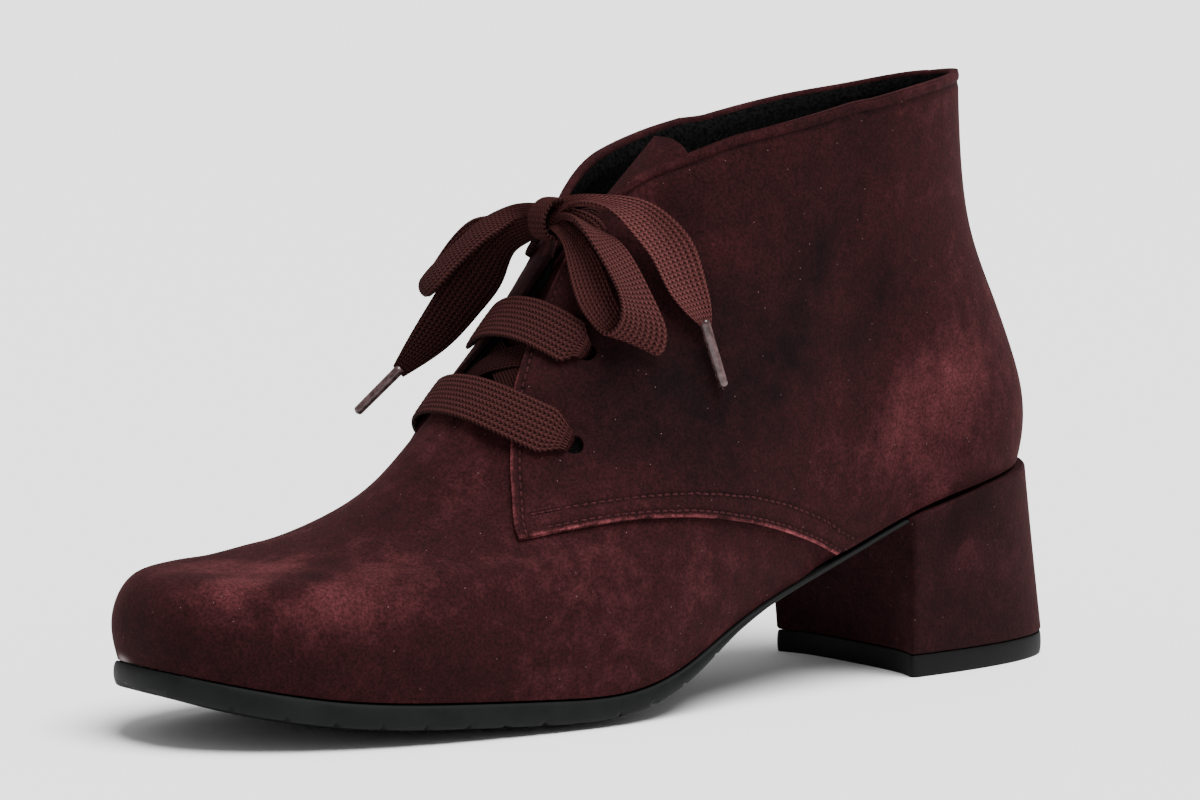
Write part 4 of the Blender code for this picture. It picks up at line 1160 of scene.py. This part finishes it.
def heel_base(run, share):
    """Plan of the heel's foot: rounded at the back, hollowed at the breast."""
    back = 1 - run
    rounding = (1 - back ** HEEL_BASE_ROUND) ** (1 / HEEL_BASE_ROUND)
    half = HEEL_BASE_HALF * (1 - HEEL_BASE_TAPER * back) * rounding
    x = HEEL_BASE_SHIFT * run + share * half
    f = HEEL_BASE_BACK_F + (BREAST_BASE_F - HEEL_BASE_BACK_F) * run
    return np.stack([x, f - BREAST_HOLLOW * (1 - share ** 4) * run ** 6], axis=-1)


def heel_loops():
    """Matching outlines of the heel's seat and foot, with their run forward and share of the half width.

    They go up the outer side, across the breast and down the inner side.
    """
    turn = 1 - np.cos(np.linspace(0, np.pi / 2, 110))
    run = np.concatenate([turn, np.ones(70), turn[::-1][:-1]])
    share = np.concatenate([np.ones(110), np.linspace(1, -1, 72)[1:-1], -np.ones(109)])
    back = outline(HEEL_RIM)[0][0, 0]
    f = back + (BREAST_TOP_F - back) * run
    middle, half = width_at(f, HEEL_RIM)
    top = np.stack([middle + share * half, f], axis=-1)
    return soften(top), soften(heel_base(run, share)), run, share


def soften(loop):
    """Closed outline with its corners rounded by averaging each point with its neighbours."""
    for _ in range(SOFTEN_ROUNDS):
        loop = (np.roll(loop, 1, axis=0) + 2 * loop + np.roll(loop, -1, axis=0)) / 4
    return loop


def make_heel(look):
    """Covered block heel lofted from the seat to the foot, its suede turned in at both ends."""
    top, foot, run, share = heel_loops()
    middle_top, middle_foot = top.mean(axis=0), foot.mean(axis=0)
    seat = feather_height(top[:, 1]) - GAP
    floor = TOP_PIECE + GAP
    breast = ease((run - BREAST_FROM) / (1 - BREAST_FROM)) * (np.abs(share) < BREAST_HALF)
    ends = np.linspace(0, HEEL_END_ROWS, 5)
    wall = np.linspace(HEEL_END_ROWS, 1 - HEEL_END_ROWS, 60)[1:-1]
    heights = np.concatenate([ends, wall, 1 - ends[::-1]])
    rings = []
    for t in heights:
        turn_in = HEEL_TURN_IN * np.clip(1 - min(t, 1 - t) / HEEL_TURN_SHARE, 0, 1) ** 2
        plan = top + (foot - top) * t
        centre = middle_top + (middle_foot - middle_top) * t
        plan = plan - unit(plan - centre) * turn_in
        rings.append(np.column_stack([plan, seat + (floor - seat) * t]))
    points, faces, caps = loop_body(np.array(rings))
    # Painted light brightens the breast, which faces forward and down into shade
    values = suede_values(points, -BREAST_LIGHT * np.tile(breast, len(heights)))
    add_piece("heel_cover", points, faces, look, ["heel"], values, caps)


def make_top_piece(look):
    """Rubber plate under the heel: the foot's outline with rounded edges, flat on the floor."""
    foot = heel_loops()[1]
    middle = foot.mean(axis=0)
    rings = []
    for angle in np.linspace(np.pi / 2, -np.pi / 2, 19):
        plan = foot - unit(foot - middle) * TOP_PIECE_ROUND * (1 - math.cos(angle))
        height = TOP_PIECE / 2 * (1 + math.sin(angle))
        rings.append(np.column_stack([plan, np.full(len(plan), height)]))
    points, faces, caps = loop_body(np.array(rings))
    add_piece("top_piece_rubber", points, faces, look, ["heel_top_piece"], None, caps)


# Lace

def ribbon(centre, half, thick, arch=0.0, painted_light_scale=1.0):
    """Flat lace along a line: at each place a flat oval section, ribbed across its width.

    A section's points are centre + half * u + normal * (arch * (1 - u * u) + thick / 2 * w), where u and w
    run round a flat oval and the ribs swell w by a cosine of u. Gives points, quads, caps and values.
    """
    count = len(centre)
    way = unit(np.gradient(centre, axis=0))
    normal = unit(np.cross(way, half))
    turn = circle(72)
    u = squared(np.cos(turn), LACE_POWER)
    w = squared(np.sin(turn), LACE_FACE_POWER)
    w = w * (1 + RIB_HEIGHT * np.cos(np.pi * LACE_RIBS * u))
    rise = np.broadcast_to(np.asarray(arch, float), (count,))[:, None] * (1 - u * u)
    rise = rise + np.broadcast_to(np.asarray(thick, float), (count,))[:, None] / 2 * w
    rings = centre[:, None] + half[:, None] * u[:, None] + normal[:, None] * rise[..., None]
    points, faces, caps = loop_body(rings)
    # Painted light and shade along the lace, as a scale on its colour
    painted_light_scale = np.broadcast_to(np.asarray(painted_light_scale, float), (count,))
    values = {"along": np.repeat(run_length(centre), len(turn)),
              "across": np.tile(u * LACE_WIDTH / 2, count),
              "painted_light_scale": np.repeat(painted_light_scale, len(turn))}
    return points, faces, caps, values


def merge(parts):
    """Several bodies as one set of points, quads, caps and values."""
    points, faces, caps, values = [], [], [], {}
    start = 0
    for part_points, part_faces, part_caps, part_values in parts:
        points.append(part_points)
        faces.append(part_faces + start)
        caps += [[i + start for i in cap] for cap in part_caps]
        for key, value in part_values.items():
            values.setdefault(key, []).append(value)
        start += len(part_points)
    return np.vstack(points), np.vstack(faces), caps, {key: np.concatenate(v) for key, v in values.items()}


def make_bars(look):
    """Three bars across the throat that dive into their eyelets, and the runs that cross below them."""
    parts = []
    side = np.linspace(-1, 1, 150)
    end = ease((np.abs(side) - BAR_END) / (1 - BAR_END))
    dive = ease((np.abs(side) - BAR_DIVE_FROM) / (1 - BAR_DIVE_FROM)) ** BAR_DIVE_POWER
    for row, (eyelet, level, ridge) in enumerate(LACE_ROWS):
        around = 0.5 + (0.5 - eyelet) * side
        path = ridge - (ridge - level) * side ** 2
        lift = QUARTER_TOP + BAR_LIFT - BAR_DIVE * dive + BAR_BOW * (1 - side ** 2)
        width = LACE_WIDTH / 2 * (1 - BAR_NARROW * end)
        painted_light_scale = 1.0
        if row == len(LACE_ROWS) - 1:
            near_knot = ease(1 - np.abs(side) / TOP_BAR_REACH)
            hidden = ease(side / HIDDEN_REACH)
            lift = lift + TOP_BAR_RISE * near_knot
            width = width * (1 - TOP_BAR_PINCH * near_knot) * (1 - HIDDEN_NARROW * hidden)
            # Painted shadow of the bow darkens the hidden half
            painted_light_scale = 1 - HIDDEN_PAINTED_SHADOW * hidden
        _, _, upward, _ = skin_axes(around, path)
        half = unit(upward) * width[:, None]
        thick = LACE_THICK + BAR_END_THICK * end
        parts.append(ribbon(skin(around, path, lift), half, thick, 0.0, painted_light_scale))
    run = np.linspace(0, 1, 80)
    for row in range(len(LACE_ROWS) - 1):
        for turn in (-1, 1):
            first, second = LACE_ROWS[row], LACE_ROWS[row + 1]
            around = 0.5 + turn * ((0.5 - first[0]) * (1 - run) - (0.5 - second[0]) * run)
            path = first[1] + (second[1] - first[1]) * run + UNDER_BEND * np.sin(np.pi * run)
            lift = UNDER_LIFT + (UNDER_RISE + UNDER_PASS * turn) * np.sin(np.pi * run) ** 2
            _, _, _, normal = skin_axes(around, path)
            centre = skin(around, path, lift)
            flat = unit(np.cross(normal, np.gradient(centre, axis=0)))
            # The runs under the bars are darkened by painted shade
            parts.append(ribbon(centre, flat * LACE_WIDTH * UNDER_HALF, UNDER_THICK, 0.0, UNDER_PAINTED_SHADE))
    points, faces, caps, values = merge(parts)
    add_piece("lace_crossings", points, faces, look, ["lace_bars"], values, caps)


def bow_cord(name, start, loop, loop_side, knot, end, end_side, look, nodes, arches, painted_light_scale):
    """One lace of the bow: out of the knot round its loop, through the knot and down its free end."""
    route = np.array([start] + loop + [knot] + end, float)
    side = np.array([KNOT_PASS_SIDE] + loop_side + [KNOT_PASS_SIDE] + end_side, float)
    for i in range(1, len(side)):
        if side[i] @ side[i - 1] < 0:
            side[i] = -side[i]
    along = run_length(route)
    places = np.linspace(0, along[-1], 260)
    centre = spline(along, route, places)
    half = spline(along, side, places)
    loop_arch, end_arch = arches
    bulge = np.concatenate([[0.0], loop_arch * np.sin(np.linspace(0, np.pi, len(loop))), [0.0],
                            end_arch * np.sin(np.linspace(0, np.pi, len(end)))])
    fold = np.interp(places, along, bulge)
    # Painted light: one scale on the colour for the loop and another for the end
    tones = np.concatenate([[painted_light_scale[0]] * (len(loop) + 1), [painted_light_scale[1]] * (len(end) + 1)])
    points, faces, caps, values = ribbon(centre, half, LACE_THICK, fold, np.interp(places, along, tones))
    piece = add_piece(name, points, faces, look, nodes, values, caps)


def make_tip(name, route, look, nodes):
    """Rolled film on a lace end: a round tube, a little wider at its start, with a rounded end."""
    start, stop = np.array(route, float)
    way = unit(stop - start)
    start = start - way * TIP_OVERLAP
    side = unit(np.cross(way, (0.0, 0.0, 1.0)))
    other = np.cross(way, side)
    run = np.linspace(0, 1, 40)
    closing = np.clip((run - 1) / TIP_ROUND + 1, 0, TIP_CLOSED)
    radius = TIP_DIAMETER / 2 * (TIP_FLARE - TIP_TAPER * run) * np.sqrt(1 - closing ** 2)
    radius = radius * (1 - TIP_LIP * np.clip(1 - run / TIP_LIP_SHARE, 0, 1))
    turn = circle(28)[:, None]
    ring = side * np.cos(turn) + other * np.sin(turn)
    rings = start + (stop - start) * run[:, None, None] + radius[:, None, None] * ring
    points, faces, caps = loop_body(rings)
    return add_piece(name, points, faces, look, nodes, None, caps)


def make_knot(look):
    """Knot: the lace wound once and a bit round the loops, as a ribbon on a tilted oval."""
    out = skin(0.5, LACE_ROWS[-1, 2], 1.0) - last(0.5, LACE_ROWS[-1, 2])
    across = np.array([1.0, 0.0, 0.0])
    up = np.cross(across, out)
    up = up if up[2] > 0 else -up
    share = np.linspace(0, 1, 130)
    turn = (KNOT_TURN_FROM + KNOT_TURNS * share) * np.pi
    deep = (KNOT_DEEP + KNOT_GROWTH * share) * np.cos(turn)
    tall = (KNOT_TALL + KNOT_GROWTH * share) * np.sin(turn)
    drift = KNOT_DRIFT * (share - 0.5)
    path = KNOT_CENTRE + out * deep[:, None] + up * tall[:, None] + across * drift[:, None]
    half = np.tile(across * KNOT_HALF_WIDTH, (len(share), 1))
    points, faces, caps, values = ribbon(path, half, LACE_THICK)
    return add_piece("bow_knot", points, faces, look, ["lace_knot"], values, caps)


# Sewing

def stitches(around, level, lift, pitch, length, thread):
    """Row of stitches: small round-ended rolls of thread along a line, sunk a little into the leather."""
    line = last(around, level)
    along = run_length(line)
    at = np.arange(pitch / 2, along[-1], pitch)
    place_around, place_level = np.interp(at, along, around), np.interp(at, along, level)
    _, _, _, normal = skin_axes(place_around, place_level)
    middle = skin(place_around, place_level, np.full(len(at), lift))
    way = unit(np.stack([np.interp(at, along, column) for column in np.gradient(line, axis=0).T], axis=-1))
    side = np.cross(normal, way)
    run = np.linspace(-1, 1, 9)
    turn = circle(8)
    fat = thread / 2 * np.sqrt(np.maximum(1 - np.abs(run) ** 3, 0.02))
    sag = -STITCH_SAG * thread * run ** 4
    rings = (middle[:, None, None] + way[:, None, None] * (run * length / 2)[:, None, None]
             + normal[:, None, None] * (sag[:, None] + fat[:, None] * np.cos(turn))[..., None]
             + side[:, None, None] * (fat[:, None] * np.sin(turn))[..., None])
    index = np.arange(rings[..., 0].size).reshape(rings.shape[:3])
    closed = np.concatenate([index, index[:, :, :1]], axis=2)
    faces = np.vstack([grid_faces(one) for one in closed])
    caps = [cap.tolist() for cap in index[:, 0]] + [cap[::-1].tolist() for cap in index[:, -1]]
    return rings.reshape(-1, 3), faces, caps, {}


def make_sewing(look):
    """All the visible sewing of the quarters, as one mesh of thread."""
    parts = []
    for inner_side in (False, True):
        for around, level in stitch_rows(inner_side)[:-1]:
            front = half_way(around[0]) >= SEAM[-1, 0]
            thread = FRONT_THREAD if front else THREAD
            lift = QUARTER_TOP - STITCH_SINK
            parts.append(stitches(around, level, lift, STITCH_PITCH, STITCH_LENGTH, thread))
        around, level = (line[-TACK_POINTS:] for line in stitch_rows(inner_side)[-2])
        for offset in (-TACK_SPREAD, 0.0, TACK_SPREAD):
            tack = slide(around, level, offset)
            lift = QUARTER_TOP - TACK_SINK
            parts.append(stitches(*tack, lift, TACK_PITCH, TACK_PITCH, FRONT_THREAD))
    points, faces, caps, _ = merge(parts)
    add_piece("sewing_thread", points, faces, look, None, None, caps)


# Stage

def aim(way):
    """Rotation that points a lamp or camera along a direction."""
    return Vector(way).to_track_quat("-Z", "Y").to_euler()


def make_stage():
    """Pale floor, soft white surroundings, studio lights and the camera."""
    mesh = bpy.data.meshes.new("studio_floor")
    corners = np.array([(-1, -1, 0), (1, -1, 0), (1, 1, 0), (-1, 1, 0)]) * FLOOR_HALF
    mesh.from_pydata(corners, [], [(0, 1, 2, 3)])
    look = new_look("pale_paper", Roughness=0.9, Base_Color=linear("#fafafa"))[0]
    mesh.materials.append(look)
    add_object("studio_floor", mesh)
    world = bpy.data.worlds.new("studio_white")
    world.use_nodes = True
    back = world.node_tree.nodes["Background"]
    back.inputs["Color"].default_value = linear("#ffffff")
    back.inputs["Strength"].default_value = SURROUND_STRENGTH
    bpy.context.scene.world = world
    # A large softbox above and to the right of the boot lights the whole floor evenly
    lamp = bpy.data.lights.new("softbox", "SUN")
    lamp.energy = SOFTBOX_ENERGY
    lamp.angle = SOFTBOX_ANGLE
    add_object("softbox", lamp).rotation_euler = aim(SOFTBOX_WAY)
    lens = bpy.data.cameras.new("camera")
    lens.lens = CAMERA_LENS
    lens.sensor_width = CAMERA_SENSOR
    lens.clip_end = CAMERA_FAR
    camera = add_object("camera", lens)
    camera.location = to_frame(CAMERA_PLACE)
    camera.rotation_euler = aim(to_frame(CAMERA_TARGET) - to_frame(CAMERA_PLACE))
    bpy.context.scene.camera = camera


def build():
    """Every piece of the boot, then the stage."""
    suede = suede_look("burgundy_suede", "#0c0405", "#240c0e", "#482225", "#6e373b")
    heel_suede = suede_look("burgundy_suede_heel", "#090303", "#1c090b", "#33161a", "#5c2c2e")
    textile = textile_look()
    lace = lace_look()
    clear = tip_look()
    make_vamp(suede)
    make_lining(textile)
    make_quarter("outer_quarter", "quarter_lateral", False, suede)
    make_quarter("inner_quarter", "quarter_medial", True, suede)
    make_collar(suede)
    make_tongue(suede)
    make_outsole(rubber_look("black_rubber_sole", "#090a0a", "#131414"))
    make_insole(textile)
    make_heel(heel_suede)
    make_top_piece(rubber_look("black_rubber_top_piece", "#070707", "#0f0f0f"))
    make_bars(lace)
    knot = make_knot(lace)
    tip = make_tip("tip_lateral", TIP_LATERAL, clear, ["lace_tip_lateral"])
    bow_cord("bow_lateral", KNOT_START_LATERAL, LOOP_LATERAL, LOOP_LATERAL_SIDE, KNOT_PASS_LATERAL,
             END_LATERAL, END_LATERAL_SIDE, lace, ["lace_loop_lateral", "lace_end_lateral"],
             ARCH_LATERAL, PAINTED_LIGHT_LATERAL)
    tip = make_tip("tip_medial", TIP_MEDIAL, clear, ["lace_tip_medial"])
    bow_cord("bow_medial", KNOT_START_MEDIAL, LOOP_MEDIAL, LOOP_MEDIAL_SIDE, KNOT_PASS_MEDIAL,
             END_MEDIAL, END_MEDIAL_SIDE, lace, ["lace_loop_medial", "lace_end_medial"],
             ARCH_MEDIAL, PAINTED_LIGHT_MEDIAL)
    make_sewing(thread_look())
    make_stage()


build()
